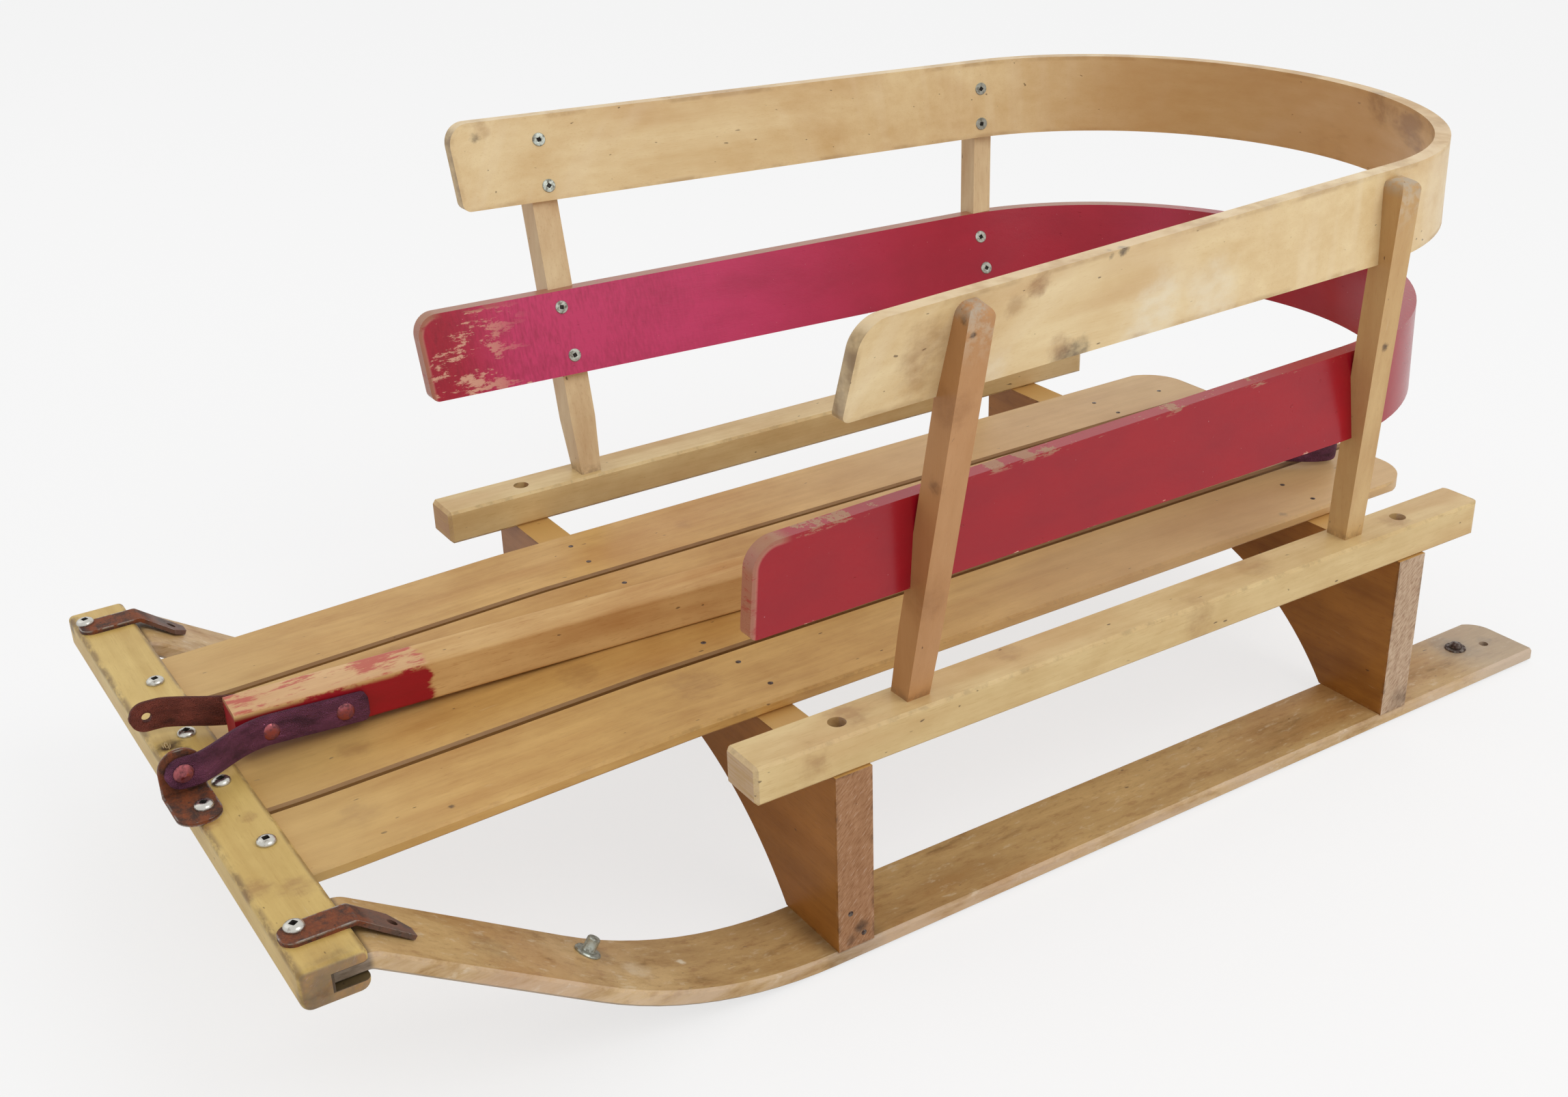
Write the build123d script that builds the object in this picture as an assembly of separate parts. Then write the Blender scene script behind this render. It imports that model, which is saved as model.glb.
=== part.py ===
"""Child's wooden snow sled with bent hoops and a folding pull pole.

Millimetres. X is across the sled, +X its left side. Forward is -Y and up is +Z.
While it is built, x = 0 is the middle of the deck, y = 0 is the middle plane of the
front bolster and z = 0 is the floor. The finished pieces are then moved so that the
origin lies on the floor under the middle of the whole sled.
"""
import math
import os

from build123d import *

# Runners: flat bent boards
runner_width = 43.0
runner_thick = 7.5
runner_outer_half = 168.0
runner_rear_y = 466.0
runner_flat_past_bolster = 0.5
runner_rise_angle = 33.0
runner_nose_radius = 12.0
runner_corner_radius = 14.0
runner_edge_ease = 1.3
tail_hole_radius = 2.6
tail_hole_inset_y = 17.0
tail_hole_inset_x = 19.5

# Nose bar: a bar grooved along its back
bar_past_runner = 3.0
bar_depth = 27.0
bar_height = 18.0
bar_rear_y = -217.0
bar_slab = 4.5
groove_height = 8.0
groove_depth = 14.0
tip_gap = 0.5
bar_top_radius = 2.5
bar_bottom_radius = 4.5
bar_end_radius = 3.0

# Bolsters: boards on edge with an arch between their legs
bolster_thick = 19.0
bolster_height = 91.0
bolster_spacing = 350.0
leg_foot = 43.0
arch_rise = 64.0

# Deck slats
slat_count = 4
slat_width = 51.0
slat_thick = 6.0
slat_gap = 3.0
slat_rear_y = 426.0
slat_edge_ease = 1.2
slat_corner_radius = 26.0
slat_dip_y = -40.0
slat_level_y = -198.0
slat_bend_radius = 500.0

# Side rails
rail_width = 24.0
rail_height = 18.5
rail_end_inset = 0.5
rail_front_y = -48.5
rail_rear_y = 399.0
rail_edge_ease = 1.4
rail_end_chamfer = 3.5
rail_end_radius = 9.0
rail_screw_radius = 4.2
rail_screw_depth = 9.0

# Stakes: square posts with a whittled foot in the rail
stake_foot_size = 12.0
stake_foot_depth = 11.0
stake_taper_height = 30.0
stake_top_radius = 5.0
stake_top_below_hoop = 3.0
stake_seat_depth = 2.5

# Hoops: bent strips that flare outward as they rise
hoop_height = 44.0
hoop_thick = 7.5
hoop_top_corner_radius = 12.0
hoop_bottom_corner_radius = 4.0

# Corner brackets
bracket_width = 13.0
bracket_thick = 2.0
bracket_centre_inset = 20.0
bracket_rear_reach = 24.0
bracket_bend_radius = 3.0
bracket_hole_radius = 1.9
bracket_hole_inset = 7.0
bracket_tip_cut = 7.0
bracket_end_radius = 5.8
bracket_edge_reach = 2.2
bracket_front_inset = 1.0
bracket_tip_gap = 0.6

# Tow tab and its rivet
tab_thick = 1.6
tab_ear_x = 26.0
tab_ear_radius = 9.5
tab_reach = 29.0
tab_foot_radius = 8.5
pivot_y = -242.0
pivot_clearance = 2.6
rivet_radius = 2.2
rivet_head_radius = 4.3
rivet_head_height = 2.4
rivet_head_gap = 0.3
clench_radius = 3.3
clench_height = 1.2
rivet_fit = 0.05
strap_side_gap = 0.4

# Pull pole, leather straps and hand loop
pole_width = 20.0
pole_height = 19.5
pole_front_y = -213.0
pole_rear_y = 366.0
pole_front_x = 1.6
pole_rear_x = 33.4
pole_edge_radius = 1.6
pole_rest_gap = 0.3
strap_height = 15.0
strap_thick = 3.0
strap_rear_y = -156.0
strap_bend_radius = 7.0
strap_bend_gap = 4.5
strap_tail_radius = 3.2
strap_drop = 3.0
loop_overlap = 38.0
loop_leg = 34.0
loop_spread = 27.0
loop_rear = 46.0
loop_flat_half = 21.0
loop_bend_radius = 9.0

# Levels worked out from the sizes above
bolster_top = runner_thick + bolster_height
deck_top = bolster_top + slat_thick
rail_top = bolster_top + rail_height
bar_top = deck_top
groove_top = bar_top - bar_slab
bar_front_y = bar_rear_y - bar_depth
bar_half_length = runner_outer_half + bar_past_runner
bracket_centre_x = runner_outer_half - bracket_centre_inset
rail_outer_half = runner_outer_half - rail_end_inset
rail_inner_half = rail_outer_half - rail_width
runner_centre_x = runner_outer_half - runner_width / 2
slat_pitch = slat_width + slat_gap
groove_floor_y = bar_rear_y - groove_depth
pivot_z = bar_top + tab_thick + pivot_clearance + strap_height / 2

# The runner rises in one long bend that ends level at the bar's back face
rise = math.radians(runner_rise_angle)
runner_bend_y = -bolster_thick / 2 - runner_flat_past_bolster
runner_climb_length = (groove_top - runner_thick) / math.tan(rise)
runner_bend_radius = (
    (runner_bend_y - bar_rear_y - runner_climb_length) / math.tan(rise / 2)
    - runner_nose_radius)
runner_foot_y = runner_bend_y - runner_bend_radius * math.tan(rise / 2)
runner_nose_y = bar_rear_y + runner_nose_radius * math.tan(rise / 2)

SIDES = (("left", 1), ("right", -1))

# Each hoop: name, height of its lower edge, its left and right front ends, then for its
# lower and upper edge how far the inner face stands out past the rail (left front,
# right front, left bend, right bend), where the bend starts and how far back it reaches
HOOPS = (
    ("hoop_upper", 264.0, (-13.0, -2.0),
     (7.0, 22.0, -7.0, -15.5, 291.0, 434.0), (22.5, 36.0, -8.0, -14.5, 301.0, 426.0)),
    ("hoop_lower", 173.5, (-46.0, -42.5),
     (-11.5, -5.5, -15.5, -29.5, 292.0, 431.0), (-5.5, 8.0, -20.0, -15.5, 297.0, 436.0)),
)

# Each stake: name, side, thickness, how far its foot stands in from the rail's middle,
# and its place along the sled at the rail and at the upper hoop
STAKES = (
    ("front", "left", 13.0, 2.0, 40.0, 39.5),
    ("front", "right", 15.0, 1.5, 40.0, 45.0),
    ("rear", "left", 12.5, 2.5, 313.0, 302.0),
    ("rear", "right", 12.5, 3.5, 314.0, 321.0),
)


def block(x_range, y_range, z_range):
    """A box between pairs of limits along X, Y and Z."""
    size = [high - low for low, high in (x_range, y_range, z_range)]
    middle = [(high + low) / 2 for low, high in (x_range, y_range, z_range)]
    return Pos(*middle) * Box(*size)


def bent_board(route, radii, width, thick, edge_ease=0):
    """A flat board along a (y, z) route that marks its top face, with its edges eased."""
    path = Plane.YZ * FilletPolyline(*route, radius=radii)
    section = Plane(origin=path @ 0, x_dir=(1, 0, 0), z_dir=path % 0)
    to_middle = -thick / 2 if section.y_dir.Z > 0 else thick / 2
    outline = Rectangle(width, thick)
    if edge_ease:
        outline = chamfer(outline.vertices(), edge_ease)
    return sweep(section * Pos(0, to_middle) * outline, path)


def round_corner(board, corner_x, corner_y, side, radius):
    """Rounds a board's rear corner in plan; side is +1 or -1 towards the corner along X."""
    centre_x = corner_x - side * radius
    centre_y = corner_y - radius
    waste = Pos(centre_x + side * radius, centre_y + radius) * Rectangle(2 * radius, 2 * radius)
    waste -= Pos(centre_x, centre_y) * Circle(radius)
    return board - extrude(waste, rail_top)


def runner(sign):
    """One runner: level on the snow, then rising to the nose bar's groove."""
    route = [
        (runner_rear_y, runner_thick),
        (runner_foot_y, runner_thick),
        (runner_nose_y, groove_top),
        (groove_floor_y + tip_gap, groove_top),
    ]
    board = bent_board(route, [runner_bend_radius, runner_nose_radius], runner_width,
                       runner_thick, runner_edge_ease)
    board = round_corner(board, -sign * runner_width / 2, runner_rear_y, -sign,
                         runner_corner_radius)
    board = Pos(sign * runner_centre_x, 0, 0) * board
    hole_x = sign * (runner_outer_half - tail_hole_inset_x)
    hole = Pos(hole_x, runner_rear_y - tail_hole_inset_y, runner_thick / 2) * Cylinder(
        tail_hole_radius, 3 * runner_thick)
    return board - hole


def nose_bar():
    """The grooved bar across the front."""
    centre = ((bar_front_y + bar_rear_y) / 2, bar_top - bar_height / 2)
    outline = Pos(*centre) * Rectangle(bar_depth, bar_height)
    upper = outline.vertices().group_by(Axis.Y)[-1]
    outline = fillet(upper, bar_top_radius)
    lower = outline.vertices().group_by(Axis.Y)[0]
    outline = fillet(lower, bar_bottom_radius)
    groove_y = (groove_floor_y + bar_rear_y + bar_depth) / 2
    groove_size = bar_rear_y + bar_depth - groove_floor_y
    outline -= Pos(groove_y, groove_top - groove_height / 2) * Rectangle(groove_size, groove_height)
    bar = Pos(-bar_half_length, 0, 0) * extrude(Plane.YZ * outline, 2 * bar_half_length, dir=(1, 0, 0))
    ends = bar.faces().filter_by(Axis.X)
    top_ends = [edge for face in ends for edge in face.edges().filter_by(Axis.Y).group_by(Axis.Z)[-1]]
    return fillet(top_ends, bar_end_radius)


def bolster(middle_y):
    """A board standing across both runners, arched between its legs."""
    board = Rectangle(2 * runner_outer_half, bolster_height)
    half_foot = runner_outer_half - leg_foot
    low = -bolster_height / 2
    arch = ThreePointArc((-half_foot, low), (0, low + arch_rise), (half_foot, low))
    board -= make_face([arch, Line((half_foot, low), (-half_foot, low))])
    middle = Plane(origin=(0, middle_y + bolster_thick / 2, runner_thick + bolster_height / 2),
                   x_dir=(1, 0, 0), z_dir=(0, -1, 0))
    return extrude(middle * board, bolster_thick)


def slat(index):
    """One deck slat, its front end let into the groove."""
    middle_x = (index - (slat_count - 1) / 2) * slat_pitch
    route = [
        (slat_rear_y, deck_top),
        (slat_dip_y, deck_top),
        (slat_level_y, groove_top),
        (groove_floor_y + tip_gap, groove_top),
    ]
    board = bent_board(route, [slat_bend_radius, slat_bend_radius], slat_width, slat_thick,
                       slat_edge_ease)
    if index in (0, slat_count - 1):
        side = -1 if index == 0 else 1
        board = round_corner(board, side * slat_width / 2, slat_rear_y, side, slat_corner_radius)
    return Pos(middle_x, 0, 0) * board


def hoop_bend(edge, grow):
    """The half ellipse behind the seat: its middle across the sled and its two reaches."""
    left_bend, right_bend, bend_y, rear_y = edge[2:]
    middle_x = (left_bend - right_bend) / 2
    across = rail_outer_half + (left_bend + right_bend) / 2 + grow
    return middle_x, across, rear_y - bend_y + grow


def hoop_outline(front_ends, edge, grow):
    """A hoop's plan: two straight sides that run into half an ellipse."""
    middle_x, across, deep = hoop_bend(edge, grow)
    bend_y = edge[4]
    sides = []
    for sign, front_y, past_rail in zip((1, -1), front_ends, edge):
        start_x = sign * (rail_outer_half + past_rail + grow)
        reach_x = sign * (start_x - middle_x) / across
        reach_y = (front_y - bend_y) / deep
        touch = math.atan2(reach_y, reach_x) + math.acos(1 / math.hypot(reach_x, reach_y))
        touch_point = (middle_x + sign * across * math.cos(touch), bend_y + deep * math.sin(touch))
        sides.append(((start_x, front_y), touch_point, math.degrees(touch)))
    left, right = sides
    bend = EllipticalCenterArc((middle_x, bend_y), across, deep, start_angle=left[2],
                               arc_size=180 - left[2] - right[2])
    return Line(left[0], left[1]), bend, Line(right[1], right[0])


def hoop_section(front_ends, edge):
    """A hoop's plan at one height, as thick as the strip."""
    inner = hoop_outline(front_ends, edge, 0)
    outer = hoop_outline(front_ends, edge, hoop_thick)
    left_end = Line(inner[0] @ 0, outer[0] @ 0)
    right_end = Line(outer[2] @ 1, inner[2] @ 1)
    return make_face([*inner, right_end, *outer, left_end])


def end_waste(sign, front_y, corner_z, centre_z):
    """What is cut off to round a corner of a strip's front end on one side."""
    radius = abs(corner_z - centre_z)
    waste = Pos(front_y, corner_z) * Rectangle(2 * radius, 2 * radius)
    waste -= Pos(front_y + radius, centre_z) * Circle(radius)
    return extrude(Plane.YZ * waste, 2 * rail_outer_half, dir=(sign, 0, 0))


def hoop(level, front_ends, lower, upper):
    """A strip bent round the back of the seat, with its front corners rounded."""
    bottom = Pos(0, 0, level) * hoop_section(front_ends, lower)
    top = Pos(0, 0, level + hoop_height) * hoop_section(front_ends, upper)
    strip = loft([bottom, top], ruled=True)
    top_z = level + hoop_height
    for sign, front_y in zip((1, -1), front_ends):
        strip -= end_waste(sign, front_y, top_z, top_z - hoop_top_corner_radius)
        strip -= end_waste(sign, front_y, level, level + hoop_bottom_corner_radius)
    return strip


def hoop_touch(row, sign, y):
    """The middle of a hoop's outer face on one side, at y."""
    reaches = []
    for edge in row[3:]:
        front_y, past_rail, bend = (ends[0 if sign > 0 else 1] for ends in (row[2], edge, edge[2:]))
        share = (y - front_y) / (edge[4] - front_y)
        reach = rail_outer_half + past_rail + share * (bend - past_rail) + hoop_thick
        if share > 1:
            middle_x, across, deep = hoop_bend(edge, hoop_thick)
            reach = sign * middle_x + across * math.sqrt(1 - ((y - edge[4]) / deep) ** 2)
        reaches.append(reach)
    return Vector(sign * sum(reaches) / 2, y, row[1] + hoop_height / 2)


def stake(side, size, foot_inset, foot_y, top_y):
    """A square post that leans from the rail so that the upper hoop lies in its inner face."""
    sign = dict(SIDES)[side]
    foot = Vector(sign * ((rail_inner_half + rail_outer_half) / 2 - foot_inset), foot_y, rail_top)
    touch = hoop_touch(HOOPS[0], sign, top_y) + Vector(sign * (size / 2 - stake_seat_depth), 0, 0)
    lean = (touch - foot) / (touch.Z - foot.Z)
    top_z = HOOPS[0][1] + hoop_height - stake_top_below_hoop
    length = (lean * (top_z - rail_top)).length
    post = Pos(0, 0, (length + stake_taper_height) / 2) * Box(size, size, length - stake_taper_height)
    post = fillet(post.edges().group_by(Axis.Z)[-1], stake_top_radius)
    foot_outline = Rectangle(stake_foot_size, stake_foot_size)
    shoulder = Pos(0, 0, stake_taper_height) * Rectangle(size, size)
    post += loft([foot_outline, shoulder])
    post += Pos(0, 0, -stake_foot_depth / 2) * Box(stake_foot_size, stake_foot_size, stake_foot_depth)
    return Plane(origin=foot, x_dir=(1, 0, 0), z_dir=lean) * post


def rail(sign):
    """A side rail on the bolsters' ends, mortised for its stakes."""
    inner, outer = rail_inner_half, rail_outer_half
    bar = block((inner, outer), (rail_front_y, rail_rear_y), (bolster_top, rail_top))
    long_edges = bar.edges().filter_by(Axis.Y)
    bar = chamfer(long_edges, rail_edge_ease)
    rear_corner = bar.edges().filter_by(Axis.Z).group_by(Axis.Y)[-1].sort_by(Axis.X)
    bar = fillet(rear_corner, rail_end_radius / 2)
    front_face = bar.faces().sort_by(Axis.Y)[0]
    bar = chamfer(front_face.edges(), rail_end_chamfer / 2)
    for middle_y in (0, bolster_spacing):
        bore = Pos((inner + outer) / 2, middle_y, rail_top) * Cylinder(
            rail_screw_radius, 2 * rail_screw_depth)
        bar -= bore
    return bar if sign > 0 else mirror(bar, Plane.YZ)


def bracket(sign):
    """A strap screwed on the bar's top and bent down onto the runner."""
    top = bar_top + bracket_thick
    rear_y = bar_rear_y + bracket_rear_reach
    runner_z = runner_thick + (runner_foot_y - rear_y) * math.tan(rise)
    edge_y = bar_rear_y + bracket_edge_reach
    tip_z = runner_z + bracket_thick / math.cos(rise) + bracket_tip_gap
    route = [(bar_front_y + bracket_front_inset, top), (edge_y, top), (rear_y, tip_z)]
    strip = bent_board(route, [bracket_bend_radius], bracket_width, bracket_thick)
    length = rear_y - bar_front_y - bracket_front_inset
    plan = Pos(0, rear_y - length / 2) * Rectangle(bracket_width, length)
    plan = fillet(plan.vertices().group_by(Axis.Y)[0], bracket_end_radius)
    plan = chamfer(plan.vertices().group_by(Axis.Y)[-1].sort_by(Axis.X)[0], bracket_tip_cut)
    strip = strip & extrude(plan, 2 * bar_top)
    hole = Pos(0, rear_y - bracket_hole_inset, bar_top) * Cylinder(bracket_hole_radius, bar_top)
    strip = strip - hole
    strip = strip if sign > 0 else mirror(strip, Plane.YZ)
    return Pos(sign * bracket_centre_x, 0, 0) * strip


def tow_tab():
    """An L of flat steel: a foot on the bar and an ear that carries the strap."""
    inner = tab_ear_x
    ear_base = bar_top
    ear = Pos(pivot_y, pivot_z) * Circle(tab_ear_radius)
    ear += Pos(pivot_y, (ear_base + pivot_z) / 2) * Rectangle(2 * tab_ear_radius, pivot_z - ear_base)
    ear_plate = Pos(inner, 0, 0) * extrude(Plane.YZ * ear, tab_thick, dir=(1, 0, 0))
    foot = Pos(inner + tab_reach / 2, pivot_y) * Rectangle(tab_reach, 2 * tab_ear_radius)
    foot = fillet(foot.vertices().group_by(Axis.X)[-1], tab_foot_radius)
    foot_plate = Pos(0, 0, bar_top) * extrude(foot, tab_thick)
    tab = ear_plate + foot_plate
    hole = Pos(inner, pivot_y, pivot_z) * Rot(0, 90, 0) * Cylinder(rivet_radius, 4 * tab_thick)
    return tab - hole


def strap_plan_x():
    """Middle of the pivoted strap's thickness where it turns on the tab."""
    return tab_ear_x + tab_thick + strap_side_gap + strap_thick / 2


def pivot_rivet():
    """A domed rivet through the tab's ear, on which the left strap turns."""
    tail = tab_ear_x - clench_height
    collar = strap_plan_x() + strap_thick / 2 + rivet_head_gap
    crown = collar + rivet_head_height
    outline = Polyline(
        (crown, 0), (tail, 0), (tail, clench_radius), (tab_ear_x, clench_radius),
        (tab_ear_x, rivet_radius), (collar, rivet_radius), (collar, rivet_head_radius),
        (collar + rivet_head_height / 2, 0.8 * rivet_head_radius), (crown, 0))
    return Pos(0, pivot_y, pivot_z) * revolve(make_face(outline), Axis.X)


def pole_angle():
    """The pole's turn away from the sled's length, in plan."""
    return math.atan((pole_rear_x - pole_front_x) / (pole_rear_y - pole_front_y))


def pole_x(y):
    """The pole's middle line in plan."""
    return pole_front_x + (y - pole_front_y) * math.tan(pole_angle())


def pull_pole():
    """The raw wooden pole, folded back on the deck."""
    length = (pole_rear_y - pole_front_y) / math.cos(pole_angle())
    pole = Box(pole_width, length, pole_height)
    pole = fillet(pole.edges().filter_by(Axis.Y), pole_edge_radius)
    middle_y = (pole_front_y + pole_rear_y) / 2
    middle_z = deck_top + pole_rest_gap + pole_height / 2
    turn = -math.degrees(pole_angle())
    return Pos(pole_x(middle_y), middle_y, middle_z) * Rot(0, 0, turn) * pole


def strap(sign):
    """A leather strap on edge, from the pole's side out to the tab's line."""
    offset = sign * (pole_width / 2 + strap_thick / 2) / math.cos(pole_angle())
    pivot_x = strap_plan_x()
    outer_x = pivot_x if sign > 0 else 2 * pole_front_x - pivot_x
    leave_y = pole_front_y - strap_bend_gap
    route = FilletPolyline(
        (outer_x, pivot_y - strap_height),
        (outer_x, pivot_y + tab_ear_radius + strap_bend_gap),
        (pole_x(leave_y) + offset, leave_y),
        (pole_x(strap_rear_y) + offset, strap_rear_y),
        radius=strap_bend_radius)
    leather = extrude(trace(route, line_width=strap_thick), 2 * rail_top)
    half = strap_height / 2
    tail_z = pivot_z - strap_drop
    side = make_face(Polyline(
        (pivot_y, pivot_z - half), (strap_rear_y, tail_z - half), (strap_rear_y, tail_z + half),
        (pivot_y, pivot_z + half), (pivot_y, pivot_z - half)))
    side = fillet(side.vertices().group_by(Axis.X)[-1], strap_tail_radius)
    side += Pos(pivot_y, pivot_z) * Circle(half)
    reach = 2 * rail_top
    leather = leather & Pos(-reach / 2, 0, 0) * extrude(Plane.YZ * side, reach, dir=(1, 0, 0))
    hole = Pos(outer_x, pivot_y, pivot_z) * Rot(0, 90, 0) * Cylinder(
        rivet_radius + rivet_fit, 4 * strap_thick)
    return leather - hole


def hand_loop():
    """A leather loop whose ends lie on both sides of the pole's rear end."""
    side_x = pole_width / 2 + strap_thick / 2
    wide = side_x + loop_spread
    half = [
        (side_x, -loop_overlap), (side_x, 0), (wide, loop_leg), (loop_flat_half, loop_rear)]
    points = half + [(-x, y) for x, y in reversed(half)]
    route = FilletPolyline(*points, radius=loop_bend_radius)
    plan = trace(route, line_width=strap_thick)
    loop = Pos(0, 0, -strap_height / 2) * extrude(plan, strap_height)
    middle_z = deck_top + pole_rest_gap + pole_height / 2
    turn = -math.degrees(pole_angle())
    return Pos(pole_x(pole_rear_y), pole_rear_y, middle_z) * Rot(0, 0, turn) * loop


def build():
    """Every node by name, in the frame whose origin is under the sled's middle."""
    nodes = {"nose_bar": nose_bar()}
    for name, middle_y in (("bolster_front", 0), ("bolster_rear", bolster_spacing)):
        nodes[name] = bolster(middle_y)
    for index in range(slat_count):
        nodes[f"slat_{index + 1}"] = slat(index)
    for name, *hoop_sizes in HOOPS:
        nodes[name] = hoop(*hoop_sizes)
    for side, sign in SIDES:
        nodes[f"runner_{side}"] = runner(sign)
        nodes[f"rail_{side}"] = rail(sign)
        nodes[f"bracket_{side}"] = bracket(sign)
        nodes[f"strap_{side}"] = strap(sign)
    for place, side, *stake_sizes in STAKES:
        post = stake(side, *stake_sizes)
        nodes[f"rail_{side}"] -= post
        nodes[f"stake_{place}_{side}"] = post - nodes["hoop_upper"] - nodes["hoop_lower"]
    nodes["tow_tab"] = tow_tab()
    nodes["pivot_rivet"] = pivot_rivet()
    nodes["pull_pole"] = pull_pole()
    nodes["hand_loop"] = hand_loop()
    boxes = [node.bounding_box() for node in nodes.values()]
    middle_x = (min(box.min.X for box in boxes) + max(box.max.X for box in boxes)) / 2
    middle_y = (min(box.min.Y for box in boxes) + max(box.max.Y for box in boxes)) / 2
    print("middle of the width at x", round(middle_x, 4), "and of the length at y", round(middle_y, 4))
    return {name: Pos(-middle_x, -middle_y, 0) * node for name, node in nodes.items()}


os.makedirs("parts", exist_ok=True)
for node_name, solid in build().items():
    export_step(solid, f"parts/{node_name}.step")
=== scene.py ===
"""Looks of the child's snow sled: wood, paint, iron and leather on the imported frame."""
import math

import bmesh
import bpy
from bpy.props import FloatProperty, FloatVectorProperty, PointerProperty
from mathutils import Matrix, Vector


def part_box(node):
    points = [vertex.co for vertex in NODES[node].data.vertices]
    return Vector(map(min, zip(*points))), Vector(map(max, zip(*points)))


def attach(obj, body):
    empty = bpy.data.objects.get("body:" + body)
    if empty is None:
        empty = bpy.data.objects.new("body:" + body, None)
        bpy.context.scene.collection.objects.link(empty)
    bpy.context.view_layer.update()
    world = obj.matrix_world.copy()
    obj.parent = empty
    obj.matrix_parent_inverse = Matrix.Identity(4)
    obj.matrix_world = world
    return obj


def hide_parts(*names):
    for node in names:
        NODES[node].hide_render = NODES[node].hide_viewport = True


bl_info = {
    "name": "Snow sled finishes",
    "version": (1, 0, 0),
    "blender": (4, 5, 0),
    "location": "3D View > Sidebar > Sled",
    "description": "Wood, paint, iron and leather for a child's snow sled",
    "category": "Object",
}

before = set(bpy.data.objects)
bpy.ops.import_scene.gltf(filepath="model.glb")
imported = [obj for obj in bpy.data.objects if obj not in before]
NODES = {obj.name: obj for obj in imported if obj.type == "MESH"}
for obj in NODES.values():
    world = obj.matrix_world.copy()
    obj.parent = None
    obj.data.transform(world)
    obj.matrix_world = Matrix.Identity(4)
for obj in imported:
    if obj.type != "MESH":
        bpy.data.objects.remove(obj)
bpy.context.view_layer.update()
MM = 0.001


def tone(red, green, blue):
    """A display colour from 0 to 255 as Blender's linear colour."""
    def channel(value):
        value /= 255
        return value / 12.92 if value <= 0.04045 else ((value + 0.055) / 1.055) ** 2.4
    return channel(red), channel(green), channel(blue)


def span(node):
    """The lowest and highest corner of a node."""
    low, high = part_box(node)
    return Vector(low), Vector(high)


MIDDLE = sum(span("bolster_front"), Vector()) / 2
DECK_TOP = span("slat_2")[1].z


def place(x, y, z):
    """A point in millimetres from the front bolster's middle and the ground, as metres."""
    return Vector((MIDDLE.x + x * MM, MIDDLE.y + y * MM, z * MM))


def along(y):
    """A distance in millimetres behind the front bolster's middle, as the frame's y."""
    return MIDDLE.y + y * MM


def palette():
    return bpy.context.scene.sled_colours


# Tints of wear and dirt, and of painted light and shade, over the colours of the panel, as linear
# red, green and blue
WHITE = (1.0, 1.0, 1.0)
SCUFF = (0.8, 0.68, 0.48)
SAW_MARK = (0.62, 0.46, 0.36)
RUBBED_EDGE = (0.8, 0.66, 0.46)
AGED_DECK = (0.68, 0.5, 0.3)
GOLDEN_DECK = (0.66, 0.47, 0.19)
# Painted shade on the slats' sides in the gaps between them
GAP_SHADE = (0.22, 0.1, 0.03)
BAR_EDGE = (0.16, 0.08, 0.03)
BAR_END = (0.2, 0.16, 0.1)
# Painted shade inside the nose bar's groove
GROOVE_SHADE = (0.045, 0.03, 0.02)
RUNNER_TAIL = (0.46, 0.41, 0.35)
RUNNER_BOLSTER = (0.1, 0.06, 0.03)
# Painted shade on the runners' noses inside the nose bar's slot
RUNNER_NOSE_SHADE = (0.05, 0.035, 0.025)
# Painted highlight on the runners' sides
RUNNER_SIDE_HIGHLIGHT = (0.74, 0.58, 0.46)
RUNNER_SOLE = (0.34, 0.28, 0.22)
HOOP_RIM = (0.36, 0.2, 0.08)
# Painted shade on the upper hoop's front end faces
HOOP_END_SHADE = (0.15, 0.075, 0.03)
HOOP_CHATTER = (0.92, 0.78, 0.56)
HOOP_FLAT = (0.8, 0.64, 0.42)
# Amber varnish together with painted shade on the faces turned inward in the rear bend
HOOP_AMBER_AND_SHADE = (0.5, 0.25, 0.07)
HOOP_SMUDGE = (0.24, 0.11, 0.04)
PAINT_EDGE = (0.3, 0.1, 0.05)
PAINT_DEEP = (0.2, 0.008, 0.02)
PAINT_SPECK = (0.7, 0.4, 0.42)
# Painted shade on the stakes' front faces
STAKE_FRONT_SHADE = (0.3, 0.14, 0.045)
STAKE_HANDLED = (0.62, 0.52, 0.38)
STAKE_TOP = (0.4, 0.35, 0.28)
STAKE_FOOT = (0.14, 0.08, 0.04)
POLE_RED_DEEP = (0.16, 0.012, 0.012)
POLE_RED_WORN = (0.62, 0.09, 0.06)
POLE_TINGED = (0.78, 0.5, 0.32)
RIVET = (0.38, 0.11, 0.12)
RIVET_DULL = (0.15, 0.04, 0.05)
RUST_GRAIN = (0.3, 0.12, 0.04)
RUST_PIT = (0.03, 0.018, 0.014)
IRON_LEG = (0.16, 0.12, 0.1)
IRON_EDGE = (0.55, 0.5, 0.45)
LEATHER_CRACK = (0.012, 0.006, 0.008)
LEATHER_RIM = (0.1, 0.045, 0.03)
# Painted shade inside the screws' sockets
SOCKET_SHADE = (0.05, 0.045, 0.04)
SOCKET_SHADE_DEEP = (0.02, 0.016, 0.012)
ZINC_STAIN = (0.3, 0.27, 0.22)
DULL_ZINC = (0.44, 0.47, 0.42)
DULL_ZINC_STAIN = (0.2, 0.19, 0.15)
OLD_IRON = (0.2, 0.17, 0.15)


def colour_property(about, shade):
    return FloatVectorProperty(name=about, default=tone(*shade), size=3, min=0.0, max=1.0,
                               subtype="COLOR")


def length_property(label, about, millimetres):
    return FloatProperty(name=label, description=about, default=millimetres * MM, min=0.0,
                         unit="LENGTH", precision=4)


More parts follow.
